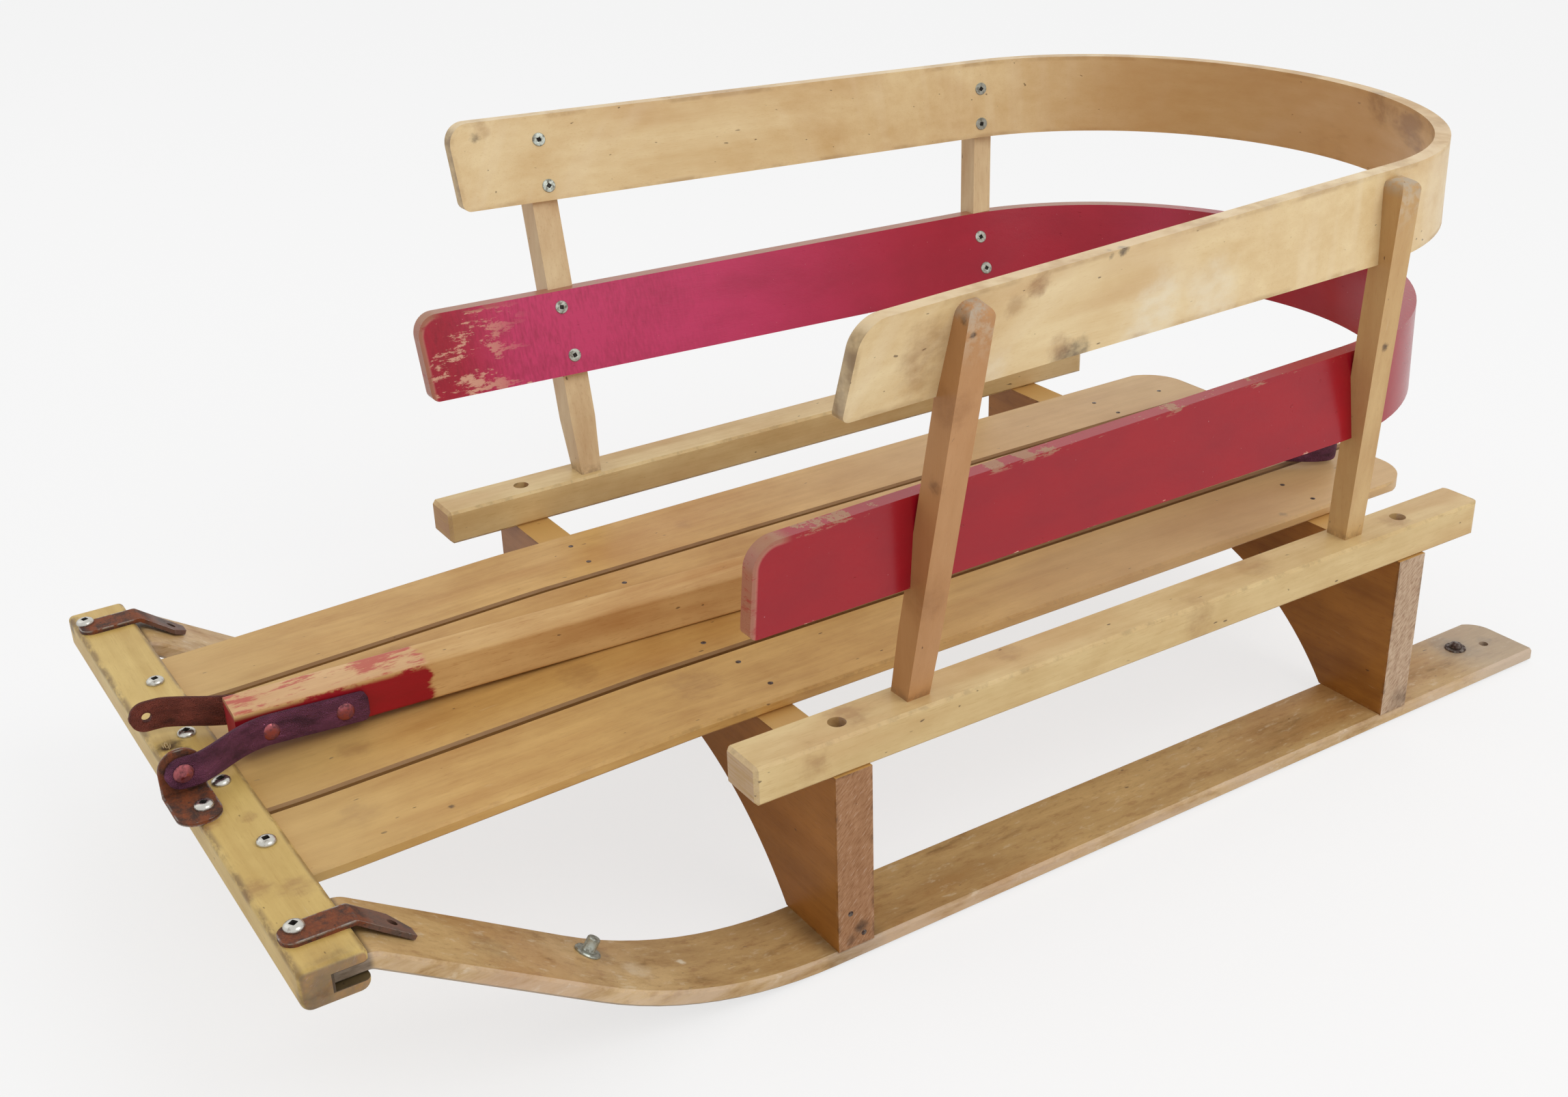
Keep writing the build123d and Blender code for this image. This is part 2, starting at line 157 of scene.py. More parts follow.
class SledColours(bpy.types.PropertyGroup):
    """Colours of the sled's finishes."""
    hoop: colour_property("Pale varnished bentwood of the upper hoop", (238, 214, 166))
    hoop_dark: colour_property("Darker figure in the upper hoop", (206, 166, 106))
    deck: colour_property("Varnished slats of the deck", (216, 174, 104))
    deck_dark: colour_property("Darker grain of the deck", (168, 116, 54))
    bar: colour_property("Nose bar", (222, 192, 116))
    bar_dark: colour_property("Darker grain of the nose bar", (182, 144, 74))
    rail: colour_property("Side rails", (226, 200, 146))
    rail_dark: colour_property("Darker grain of the rails", (186, 148, 90))
    # Darker than the bolsters' tops, which are paled towards the deck colour: painted shade on
    # their other faces
    bolster: colour_property("Faces of the bolsters", (170, 112, 46))
    bolster_dark: colour_property("Darker grain of the bolsters", (116, 66, 20))
    runner: colour_property("Worn upper faces of the runners", (212, 178, 122))
    runner_dark: colour_property("Dark grain and dirt of the runners", (158, 118, 68))
    stake: colour_property("Square stake at the rear left", (214, 180, 124))
    stake_dark: colour_property("Darker grain of the stakes", (170, 118, 66))
    stake_pale: colour_property("The two stakes on the right", (242, 222, 178))
    stake_amber: colour_property("The darker front left stake", (198, 148, 100))
    pole: colour_property("Bare wood of the pull pole", (222, 184, 124))
    pole_dark: colour_property("Darker grain of the pull pole", (176, 122, 66))
    end_grain: colour_property("Sawn board ends", (172, 128, 92))
    end_pale: colour_property("Sawn ends at the rear", (204, 178, 150))
    amber: colour_property("Thick or warm old varnish", (176, 112, 44))
    paint: colour_property("Gloss paint of the lower hoop", (164, 20, 34))
    # Faded paint together with a painted magenta sheen on the right side's inner face
    paint_far_faded_and_sheen: colour_property("Paint inside the right side", (204, 60, 108))
    rust: colour_property("Orange rust on the iron", (124, 62, 28))
    rust_dark: colour_property("Dark scale on the iron", (60, 36, 26))
    leather: colour_property("Purple leather of the left strap and loop", (156, 84, 120))
    leather_far: colour_property("Red-brown leather of the right strap", (170, 84, 66))
    zinc: colour_property("Plated screws", (196, 194, 186))
    stain: colour_property("Soft brown marks in the wood", (146, 96, 52))
    bare: colour_property("Whitened, worn varnish", (238, 226, 200))
    scar: colour_property("Wood laid bare under the paint", (226, 176, 150))
    dirt: colour_property("Marks, knots and dark holes", (66, 44, 28))


class SledSizes(bpy.types.PropertyGroup):
    """Sizes of the small fittings."""
    deck_screw: length_property("Deck screw head", "Radius of the domed heads on the bar", 4.2)
    hoop_screw: length_property("Hoop screw head", "Radius of the flat heads in the hoops", 3.6)
    socket: length_property("Screw socket", "Half width of the square sockets", 1.35)
    nail: length_property("Nail head", "Radius of the nail heads", 1.35)
    strap_rivet: length_property("Strap rivet head", "Radius of the rivets in the leather", 4.2)
    strap_thick: length_property("Leather thickness", "Thickness of straps and loop", 2.8)
    strap_half: length_property("Leather half height", "Half the height of straps and loop", 7.4)
    grain_width: length_property("Grain width", "Width of one streak of grain", 4.0)


class SledStage(bpy.types.PropertyGroup):
    """Light round the sled."""
    key: FloatProperty(name="Key light", description="Power of the large soft lamp", default=9.0,
                       min=0.0, unit="POWER")
    sky: FloatProperty(name="Sky", description="Strength of the even light", default=0.72, min=0.0)


def operator_pair(operation):
    """A Python operator as a Math node, and its reflected form."""
    def straight(first, second):
        return first.maths(operation, second)

    def reflected(second, first):
        return second.shader.maths(operation, first, second)
    return straight, reflected


class Tap:
    """A shader socket that can be used in sums."""
    __add__, __radd__ = operator_pair("ADD")
    __sub__, __rsub__ = operator_pair("SUBTRACT")
    __mul__, __rmul__ = operator_pair("MULTIPLY")
    __truediv__, __rtruediv__ = operator_pair("DIVIDE")
    __pow__, __rpow__ = operator_pair("POWER")

    def __init__(self, shader, socket):
        self.shader = shader
        self.socket = socket

    def maths(self, operation, *others):
        return self.shader.maths(operation, self, *others)

    def __abs__(self):
        return self.maths("ABSOLUTE")

    def above(self, other):
        """1 where this is the greater, 0 elsewhere."""
        return self.maths("GREATER_THAN", other)

    def most(self, other):
        return self.maths("MAXIMUM", other)

    def least(self, other):
        return self.maths("MINIMUM", other)

    def ramp(self, low, high):
        """0 below low, 1 above high and smooth between; low may be the larger."""
        if low > high:
            return 1 - self.ramp(high, low)
        return self.shader.add("ShaderNodeMapRange", {"interpolation_type": "SMOOTHSTEP"},
                               {"Value": self, "From Min": low, "From Max": high}, "Result")


class Nodes:
    """The nodes of a material or of the world; every one comes from add()."""

    def __init__(self, owner):
        self.owner = owner
        owner.use_nodes = True
        self.tree = owner.node_tree
        self.tree.nodes.clear()

    def add(self, kind, settings=None, values=None, output=None):
        node = self.tree.nodes.new(kind)
        for key, value in (settings or {}).items():
            setattr(node, key, value)
        for key, value in (values or {}).items():
            if isinstance(value, Tap):
                self.tree.links.new(value.socket, node.inputs[key])
            else:
                node.inputs[key].default_value = value
        return node if output is None else Tap(self, node.outputs[output])

    def maths(self, operation, *terms):
        return self.add("ShaderNodeMath", {"operation": operation}, dict(enumerate(terms)), 0)


# The Mix node's sockets for its share, its two colours and its result
MIX_SHARE = 0
MIX_COLOURS = (6, 7)
MIX_RESULT = 2


class Shader(Nodes):
    """Builds one material from the place and the facing of its surface."""

    def __init__(self, name):
        super().__init__(bpy.data.materials.new(name))
        surface = self.add("ShaderNodeTexCoord")
        self.position = self.axes(surface, "Object")
        self.facing_signed = self.axes(surface, "Normal")
        self.facing = tuple(abs(part) for part in self.facing_signed)

    def axes(self, node, output):
        parts = self.add("ShaderNodeSeparateXYZ", None, {0: Tap(self, node.outputs[output])})
        return tuple(Tap(self, socket) for socket in parts.outputs)

    def vector(self, x, y, z):
        return self.add("ShaderNodeCombineXYZ", None, {0: x, 1: y, 2: z}, 0)

    def noise(self, at, detail=3.0, rough=0.55):
        return self.add("ShaderNodeTexNoise", {"noise_dimensions": "3D"},
                        {"Vector": at, "Scale": 1.0, "Detail": detail, "Roughness": rough}, "Fac")

    def grain(self, scales, detail=3.0, rough=0.55, shift=0.0):
        """Noise by place, with a scale for each axis and a shift along x."""
        x, y, z = (part * scale for part, scale in zip(self.position, scales))
        if shift:
            x = x + shift
        return self.noise(self.vector(x, y, z), detail, rough)

    def blend(self, share, first, second):
        """A colour that goes from the first to the second as share goes from 0 to 1."""
        values = {MIX_SHARE: share}
        for index, shade in zip(MIX_COLOURS, (first, second)):
            values[index] = shade if isinstance(shade, Tap) else (*shade, 1.0)
        return self.add("ShaderNodeMix", {"data_type": "RGBA", "clamp_factor": True}, values,
                        MIX_RESULT)

    def layers(self, colour, *coats):
        """A colour under coats of a share and a tint each, the lowest coat first."""
        for share, tint in coats:
            colour = self.blend(share, colour, tint)
        return colour

    def spot(self, centre, radius):
        """A ragged blot round a place, strongest in its middle, uneven and 0 outside."""
        x, y, z = self.position
        gap = ((x - centre[0]) ** 2 + (y - centre[1]) ** 2 + (z - centre[2]) ** 2) ** 0.5
        shape = self.grain((1.3 / radius,) * 3, 5.0, 0.65) - 0.5
        depth = self.grain((260, 130, 260), 4.0).ramp(0.3, 0.65)
        return (gap / radius + shape * 1.4).ramp(1.1, 0.25) * (depth * 0.5 + 0.5)

    def edges(self, low, high, width):
        """1 along the edges of a board between two corners, fading over a width."""
        found = 0.0
        for part, facing, start, end in zip(self.position, self.facing, low, high):
            half = (end - start) / 2
            near = abs(part - (start + end) / 2).ramp(half - width, half - 0.1 * width)
            found = near * (1 - facing) + found
        return found.least(1.0)

    def finish(self, colour, rough, bump, height, metallic=None, **fixed):
        """Closes the material: linked looks, a bump in metres, and fixed values."""
        values = {"Base Color": colour, "Roughness": rough}
        if metallic is not None:
            values["Metallic"] = metallic
        relief = {"Height": bump, "Strength": 1.0, "Distance": height}
        values["Normal"] = self.add("ShaderNodeBump", None, relief, "Normal")
        for key, value in fixed.items():
            values[key.replace("_", " ")] = value
        return self.close(self.add("ShaderNodeBsdfPrincipled", None, values, "BSDF"))

    def close(self, surface):
        self.add("ShaderNodeOutputMaterial", None, {"Surface": surface})
        return self.owner


# The upper hoop's bend: its middle ahead of the rear end, and its radius, in metres
BEND_AHEAD = 0.135
BEND_RADIUS = 0.15


def grain_axes(shader, way):
    """Position along the grain, then the two directions across it."""
    x, y, z = shader.position
    if way == "X":
        return x, y, z
    if way == "Y":
        return y, x, z
    if way == "Z":
        return z, x, y
    bend_y = span("hoop_upper")[1].y - BEND_AHEAD
    turn = shader.maths("ARCTAN2", x, (y - bend_y).most(1e-4))
    ahead = (bend_y - y).most(0.0)
    side = shader.maths("SIGN", x)
    return turn * BEND_RADIUS + ahead * side, z, (x ** 2 + y ** 2) ** 0.5


def wood(name, way, light, dark, node=None, box=None, coat=0.12, shine=0.42, contrast=1.0,
         mottle=1.0, end_grain=None, seed=0.0, extra=None):
    """Varnished or bare hardwood: streaks, flecks, clouds, dings, rubbed edges and sawn ends."""
    colours = palette()
    shader = Shader(name)
    length, side, up = grain_axes(shader, way)

    def figure(lengthwise, sideways, upward, detail, rough=0.55, shift=seed):
        """Noise with a scale along the grain and two across it."""
        at = shader.vector(length * lengthwise + shift, side * sideways, up * upward)
        return shader.noise(at, detail, rough)

    side = side + (figure(3, 12, 12, 2.0) - 0.5) * 0.02
    fine = 1 / bpy.context.scene.sled_sizes.grain_width
    streak = figure(6, fine, fine, 4.0, 0.6)
    band = figure(2.5, 60, 60, 2.0)
    cloud = figure(20, 34, 34, 5.0, 0.6)
    warmth = figure(7, 24, 24, 3.0, shift=-seed)
    fleck = figure(130, 1500, 1500, 2.0)
    dings = figure(150, 420, 420, 1.0).ramp(0.76, 0.81)
    scuffs = figure(24, 300, 200, 5.0, 0.7).ramp(0.66, 0.74)
    share = (streak - 0.5) * (0.6 * contrast) + (band - 0.5) * (0.8 * contrast) + 0.34
    share = share + (cloud - 0.5) * (1.3 * mottle)
    colour = shader.layers(shader.blend(share, light, dark),
                           (warmth.ramp(0.48, 0.72) * (0.32 * mottle), colours.amber),
                           (fleck.ramp(0.56, 0.72) * (0.3 * contrast), dark),
                           (dings * 0.7, colours.dirt), (scuffs * 0.2, SCUFF))
    rough = shine + (streak - 0.5) * 0.1 + (cloud - 0.5) * 0.25
    if end_grain is not None:
        x, y, z = shader.position
        facing = shader.facing["XYZ".index(way)].ramp(0.6, 0.85)
        saw = shader.noise(shader.vector(x * 40, y * 160 + z * 150, (z - y) * 900), 3.0, 0.6)
        rings = shader.noise(shader.vector(x * 90, y * 300, z * 60 + y * 120), 4.0, 0.65)
        share = saw.ramp(0.42, 0.66) * 0.45 + (rings - 0.5) * 0.9 + 0.1
        sawn = shader.layers(shader.blend(share, end_grain, dark),
                             (saw.ramp(0.4, 0.32) * 0.4, SAW_MARK))
        colour = shader.blend(facing * 0.92, colour, sawn)
        rough = rough + facing * 0.25
    if box is not None:
        edge = shader.edges(*box, 2.0 * MM)
        rub = shader.grain((120, 120, 120), 5.0, 0.68, seed)
        colour = shader.layers(colour, (edge * rub.ramp(0.46, 0.66) * 0.5, colours.dirt),
                               (edge * rub.ramp(0.52, 0.24) * 0.22, RUBBED_EDGE))
        rough = rough + edge * 0.1
    for x, y, z, size, tone_name, strength in MARKS.get(node, ()):
        spot = shader.spot(place(x, y, z), size * MM)
        colour = shader.blend(spot * strength, colour, getattr(colours, tone_name))
    if extra is not None:
        colour, rough = extra(shader, node, colour, rough)
    bump = (streak * 0.3 + fleck * 0.25 + cloud * 0.4) - dings * 1.2 - scuffs * 0.15
    return shader.finish(colour, rough, bump, 0.18 * MM, Coat_Weight=coat, Coat_Roughness=0.3,
                         Specular_IOR_Level=0.3)


def coat_with(node, material, slot):
    """Gives a CAD node its finish."""
    mesh = NODES[node].data
    mesh.materials.clear()
    mesh.materials.append(material)


def seat(node, start, direction):
    """Where a straight line from a point first meets a node, and the surface's normal."""
    hit, where, normal, _ = NODES[node].ray_cast(start, Vector(direction).normalized())
    if not hit:
        raise RuntimeError(f"nothing of {node} lies under the fitting at {tuple(start)}")
    return where, normal


# Heights in millimetres over the deck's screws, and over the runners but under the rails
OVER_DECK = 140
OVER_RUNNERS = 90


def from_above(node, x, y, height=OVER_DECK):
    """Where a line straight down meets a node, and the surface's normal."""
    return seat(node, place(x, y, height), (0, 0, -1))


def upright(where, axis, turn=0.0):
    """A placing with its Z along an axis, turned about it."""
    spin = Vector(axis).to_track_quat("Z", "Y").to_matrix().to_4x4()
    return Matrix.Translation(where) @ spin @ Matrix.Rotation(turn, 4, "Z")


def new_object(name, mesh, material, body):
    for polygon in mesh.polygons:
        polygon.use_smooth = True
    mesh.materials.append(material)
    # Faces inside a socket take the dark material of painted shade.
    if any(polygon.material_index for polygon in mesh.polygons):
        mesh.materials.append(bpy.data.materials["screw_socket_shade"])
    thing = bpy.data.objects.new(name, mesh)
    bpy.context.scene.collection.objects.link(thing)
    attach(thing, body)
    return thing


# Edges that turn by more than this stay sharp
SHARP = math.radians(38)


def to_mesh(shape, name):
    mesh = bpy.data.meshes.new(name)
    shape.to_mesh(mesh)
    shape.free()
    return mesh


def skin(shape, loops):
    """Faces from each loop of corners to the next, and over the first loop."""
    count = len(loops[0])
    for lower, upper in zip(loops, loops[1:]):
        for step in range(count):
            after = (step + 1) % count
            shape.faces.new((lower[step], lower[after], upper[after], upper[step]))
    shape.faces.new(tuple(reversed(loops[0])))


def turned(radius, rings, segments=28, socket=0.0, socket_rings=()):
    """A closed turned form from rings of (share of the radius, height in millimetres).

    The socket's rings are square, as shares of its half width, and faces between them take a dark
    material that paints the socket's shade.
    """
    shape = bmesh.new()
    rows = [(radius * share, height, False) for share, height in rings]
    rows += [(socket * share, height, True) for share, height in socket_rings]
    loops = []
    for size, height, square in rows:
        loop = []
        for step in range(segments):
            angle = 2 * math.pi * step / segments
            x, y = math.cos(angle), math.sin(angle)
            reach = size / max(abs(x), abs(y)) if square else size
            loop.append(shape.verts.new((reach * x, reach * y, height * MM)))
        loops.append(loop)
    skin(shape, loops)
    floor = shape.verts.new((0.0, 0.0, rows[-1][1] * MM))
    for step in range(segments):
        shape.faces.new((loops[-1][step], loops[-1][(step + 1) % segments], floor))
    bmesh.ops.recalc_face_normals(shape, faces=shape.faces)
    inside = {corner for loop in loops[len(rings):] for corner in loop} | {floor}
    for face in shape.faces:
        if inside.issuperset(face.verts):
            face.material_index = 1
    for edge in shape.edges:
        if edge.calc_face_angle(0.0) > SHARP:
            edge.smooth = False
    return to_mesh(shape, "turned")


def gather(name, rows, material, body="sled"):
    """Joins copies of turned forms, given as (mesh, placing) rows, into one metal piece."""
    shape = bmesh.new()
    for mesh, placing in rows:
        start = len(shape.verts)
        shape.from_mesh(mesh)
        shape.verts.ensure_lookup_table()
        bmesh.ops.transform(shape, matrix=placing, verts=shape.verts[start:])
    return new_object(name, to_mesh(shape, name), material, body)


# Rings of the turned fittings: share of the radius, and height over the seat in millimetres
DOMED_HEAD = ((0.9, -0.3), (1, 0.1), (1, 0.7), (0.9, 1.5), (0.68, 2.1), (0.48, 2.25))
DOMED_SOCKET = ((1.05, 2.25), (0.95, 2.1), (0.8, 0.7))
FLAT_HEAD = ((0.8, -1.6), (1, -0.3), (1, 0.3), (0.93, 0.55), (0.6, 0.6))
FLAT_SOCKET = ((1.05, 0.6), (0.95, 0.5), (0.9, 0.06))
NAIL_HEAD = ((0.5, -1.5), (1, -0.2), (1, 0.08), (0.8, 0.2), (0.3, 0.14))
# Rings with radius and height both in millimetres
WASHER = ((5.6, -0.1), (5.8, 0.2), (5.6, 0.9), (3.2, 1.1))
BOLT = ((3.4, 0.9), (3.6, 1.6), (3.0, 3.0), (1.5, 3.7), (0.4, 3.8))
STUD = ((5.8, -0.9), (6.0, 0.5), (5.6, 1.1), (3.2, 1.3), (2.9, 1.7), (2.9, 6.6), (2.5, 7.1),
        (0.6, 7.2))
PUNCH = ((2.25, -20), (2.25, 20))


def rivet_dome(radius, rise):
    """A low domed rivet head that rises by some millimetres."""
    return turned(radius, ((0.96, -0.4), (1, 0.1), (0.93, rise * 0.45), (0.7, rise * 0.8),
                           (0.35, rise), (0.1, rise)), 26)


def metal(name, bright, dull, spread, polished=0.32):
    """Plated or bare metal, stained by a spread from 0 to 1."""
    shader = Shader(name)
    stain = shader.grain((420, 420, 420), 4.0, 0.62)
    fine = shader.grain((1900, 1900, 1900), 2.0)
    share = (stain + (spread - 0.5)).ramp(0.42, 0.66)
    return shader.finish(shader.blend(share, bright, dull), share * 0.4 + polished,
                         stain * 0.6 + fine * 0.4, 0.12 * MM, metallic=1 - share * 0.75)


# Marks on the wood by node, among them a painted shadow on the upper hoop: place and radius in
# millimetres, tone, strength
MARKS = {
    "nose_bar": (
        (-14, -237, 104.5, 7, "dirt", 1), (-8, -233, 104.5, 4, "dirt", 0.7),
        (-163, -243, 101, 6, "dirt", 0.8), (-150, -222, 104.5, 6, "stain", 0.5),
        (56, -241, 104.5, 6, "stain", 0.6), (14, -241, 104, 8, "stain", 0.6),
        (118, -226, 104.5, 9, "stain", 0.5), (110, -239, 104.5, 8, "stain", 0.5),
        (150, -224, 104.5, 7, "stain", 0.6), (171, -231, 97, 16, "dirt", 0.45),
        (171, -240, 91, 8, "dirt", 0.6), (60, -226, 104.5, 5, "stain", 0.4)),
    "hoop_upper": (
        (57.8, 418.8, 303.2, 13, "dirt", 0.7), (72, 414, 300, 7, "dirt", 0.5),
        (176.7, 102.9, 264.5, 11, "dirt", 0.8), (178, 96, 270, 8, "stain", 0.5),
        (187.5, 76.9, 302.5, 7, "stain", 0.7), (188, 66, 296, 7, "stain", 0.4),
        (184, 123.1, 307, 3.4, "dirt", 1), (183, 116, 306.5, 2.6, "dirt", 0.8),
        (176, 150, 271, 24, "bare", 0.6), (173, 186, 276, 20, "bare", 0.5),
        # The two stain marks at 22 and 20 mm along, just ahead of the front left stake, are the
        # stake's painted shadow on the hoop.
        (182, 60, 268, 12, "bare", 0.4), (191, 22, 288, 15, "stain", 0.5),
        (188, 20, 274, 11, "stain", 0.4), (-198.9, 12, 300.3, 3.2, "dirt", 0.7),
        (-197, 16, 304, 6, "stain", 0.4), (-188, 140, 300, 6, "stain", 0.3)),
    "slat_1": ((-80, 60, 104.5, 6, "stain", 0.3),),
    "slat_4": (
        (96.9, -152.8, 101.3, 1.8, "dirt", 0.9), (78, -186, 102, 12, "stain", 0.4),
        (71.7, -23.9, 104.5, 16, "stain", 0.4), (100.3, 326.4, 104.5, 3, "dirt", 0.6)),
    "slat_3": (
        (30, -170, 103, 9, "stain", 0.5), (34, -60, 104.5, 14, "stain", 0.4)),
    "slat_2": ((-40, -120, 103, 10, "stain", 0.4),),
    "runner_left": (
        (141.1, 432, 7.5, 15, "dirt", 0.5), (147, 452, 7.5, 6, "dirt", 0.5),
        (148, -165, 62, 14, "dirt", 0.3), (140, -112, 36, 9, "dirt", 0.35),
        (145.5, -76.7, 18.6, 2.4, "bare", 0.9), (150, -100, 28, 8, "bare", 0.4)),
    "runner_right": ((-141.1, 432, 7.5, 15, "dirt", 0.45),),
    "stake_rear_left": ((170.6, 305.4, 223.2, 2.6, "dirt", 1),),
    "stake_front_left": (
        (196.5, 33, 299.6, 2.4, "dirt", 1), (198.3, 36.2, 293.5, 2, "dirt", 1),
        (179.3, 33.2, 225.6, 4.5, "dirt", 0.6), (187, 33, 262, 12, "stain", 0.5),
        (168, 34, 170, 14, "stain", 0.5)),
    "rail_left": (
        (153, 8, 118, 12, "stain", 0.5), (163, -20, 108, 10, "stain", 0.5),
        (150, 96, 118, 10, "stain", 0.4), (150, 250, 118, 14, "stain", 0.4),
        (163, 200, 108, 12, "stain", 0.4), (158, 345, 118, 9, "stain", 0.5)),
    "bolster_front": (
        (168, 2.5, 16.9, 4.5, "dirt", 0.9), (168, -3, 12, 3.5, "dirt", 0.6)),
    "bolster_rear": ((168, 354, 14, 9, "dirt", 0.5),),
}


def dark_gaps(shader, node, colour, rough):
    """Older varnish to the rear, golden to the front, and painted shade on the slats' inner sides
    in the gaps between them.
    """
    low, high = span(node)
    x, y, _ = shader.position
    beyond = x.above((low.x + high.x) / 2)
    inner = 1.0
    if node == "slat_1":
        inner = beyond
    elif node == "slat_4":
        inner = 1 - beyond
    aged = (y - along(40)).ramp(0.0, 0.22)
    golden = (y - along(-130)).ramp(0.0, -0.09)
    # Painted shade: the sides that face into the gaps between slats are darkened.
    gap = shader.facing[0].ramp(0.4, 0.75) * inner
    return shader.layers(colour, (aged * 0.4, AGED_DECK), (golden * 0.4, GOLDEN_DECK),
                         (gap * 0.8, GAP_SHADE)), rough


def painted_light_top(shader, node, colour, rough):
    """Painted light: the bolsters' upward faces are made nearly as pale as the deck, while their
    other faces keep the darker bolster colour as painted shade.
    """
    up = shader.facing_signed[2].ramp(0.5, 0.9)
    return shader.blend(up * 0.75, colour, palette().deck), rough


# The nose bar's groove: its floor and ceiling under the deck's top in metres, and the place
# of its mouth along the sled in millimetres
GROOVE_FLOOR = 0.0128
GROOVE_CEILING = 0.0043
GROOVE_MOUTH = -232


def dark_groove(shader, node, colour, rough):
    """Rubbed long edges and grimy ends of the nose bar, and painted shade inside its groove."""
    _, y, z = shader.position
    low, high = span(node)
    ahead, behind, over = y - low.y, y - high.y, z - high.z
    grime = shader.grain((60, 160, 160), 5.0, 0.7)
    front = ahead.ramp(0.0035, 0.001) * over.ramp(-0.004, -0.001)
    back = behind.ramp(-0.003, -0.001) * over.ramp(-0.003, -0.001)
    worn = front.most(back) * grime.ramp(0.36, 0.56)
    end = shader.facing[0].ramp(0.5, 0.8) * grime.ramp(0.3, 0.6)
    # Painted shade: the faces inside the groove are darkened nearly to black.
    inside = z.above(DECK_TOP - GROOVE_FLOOR) * (1 - z.above(DECK_TOP - GROOVE_CEILING))
    inside = inside * y.above(along(GROOVE_MOUTH))
    return shader.layers(colour, (worn * 0.65, BAR_EDGE), (end * 0.5, BAR_END),
                         (inside * 0.85, GROOVE_SHADE)), rough


def runner_wear(shader, node, colour, rough):
    """Snow-worn soles, streaks of dirt, painted shade on the nose inside the nose bar's slot, a
    painted highlight along the sides and a greyed tail.
    """
    colours = palette()
    y = shader.position[1]
    dirt = shader.grain((90, 20, 90), 5.0, 0.68)
    speck = shader.grain((260, 90, 160), 4.0, 0.7)
    tail = (y - along(400)).ramp(0.0, 0.04)
    bolster = abs(y - along(0)).ramp(0.02, 0.01)
    # Painted shade: the nose inside the nose bar's slot is darkened nearly to black.
    nose = y.ramp(along(-214), along(-217))
    # Painted highlight: the sides are lightened.
    side = shader.facing[0].ramp(0.35, 0.75) * dirt.ramp(0.7, 0.35)
    sole = shader.facing_signed[2].ramp(-0.3, -0.7)
    colour = shader.layers(
        colour, (dirt.ramp(0.48, 0.7) * 0.45, colours.runner_dark),
        (dirt.ramp(0.6, 0.74) * 0.35, colours.dirt), (speck.ramp(0.54, 0.68) * 0.35, colours.stain),
        (speck.ramp(0.44, 0.3) * 0.3, colours.bare), (tail * 0.5, RUNNER_TAIL),
        (bolster * 0.4, RUNNER_BOLSTER), (nose * 0.85, RUNNER_NOSE_SHADE), (side * 0.45, RUNNER_SIDE_HIGHLIGHT),
        (sole * 0.7, RUNNER_SOLE))
    return colour, rough + dirt.ramp(0.5, 0.7) * 0.15


class SLED_OT_boards(bpy.types.Operator):
    """Finishes the deck, rails, bolsters, nose bar and runners"""
    bl_idname = "sled.boards"
    bl_label = "Boards"

    def execute(self, context):
        shades = palette()
        kinds = (
            ("slat", "Y", shades.deck, shades.deck_dark, "deck_wood", dark_gaps),
            ("rail", "Y", shades.rail, shades.rail_dark, "rail_wood", None),
            ("bolster", "X", shades.bolster, shades.bolster_dark, "bolster_wood", painted_light_top),
            ("runner", "Y", shades.runner, shades.runner_dark, "runner_wood", runner_wear),
            ("nose_bar", "X", shades.bar, shades.bar_dark, "bar_wood", dark_groove),
        )
        for kind, way, light, dark, slot, extra in kinds:
            nodes = sorted(node for node in NODES if node.startswith(kind))
            for number, node in enumerate(nodes):
                pale = node in ("bolster_rear", "rail_left")
                sawn = shades.end_pale if pale else shades.end_grain
                coat_with(node, wood(f"{node}_wood", way, light, dark, node, span(node),
                                     end_grain=sawn, seed=3.7 * number + len(kind),
                                     extra=extra), slot)
        return {"FINISHED"}


# Front ends of the hoops' left and right sides, and the radius of their upper corners
HOOP_FRONTS = {"hoop_upper": (-13.0, -2.0), "hoop_lower": (-46.0, -42.5)}
HOOP_CORNER = 12.0
# Chips along the lower hoop's top edge on the left side: place along and half length
PAINT_CHIPS = ((-16.0, 3.0), (-6.0, 5.0), (78.0, 2.0), (95.0, 3.0), (105.0, 4.0), (182.0, 1.5),
               (236.0, 1.2))


def hoop_rim(shader, node, width):
    """1 within a width of a hoop's front end, rounded upper corner and top edge."""
    x, y, z = shader.position
    left, right = (along(front) for front in HOOP_FRONTS[node])
    front = (1 - x.above(0.0)) * (right - left) + left
    radius = HOOP_CORNER * MM
    ahead = (y - front - radius).least(0.0)
    over = (z - (span(node)[1].z - radius)).most(0.0)
    reach = (ahead ** 2 + over ** 2) ** 0.5
    return reach.ramp(radius - width, radius - 0.4 * width)


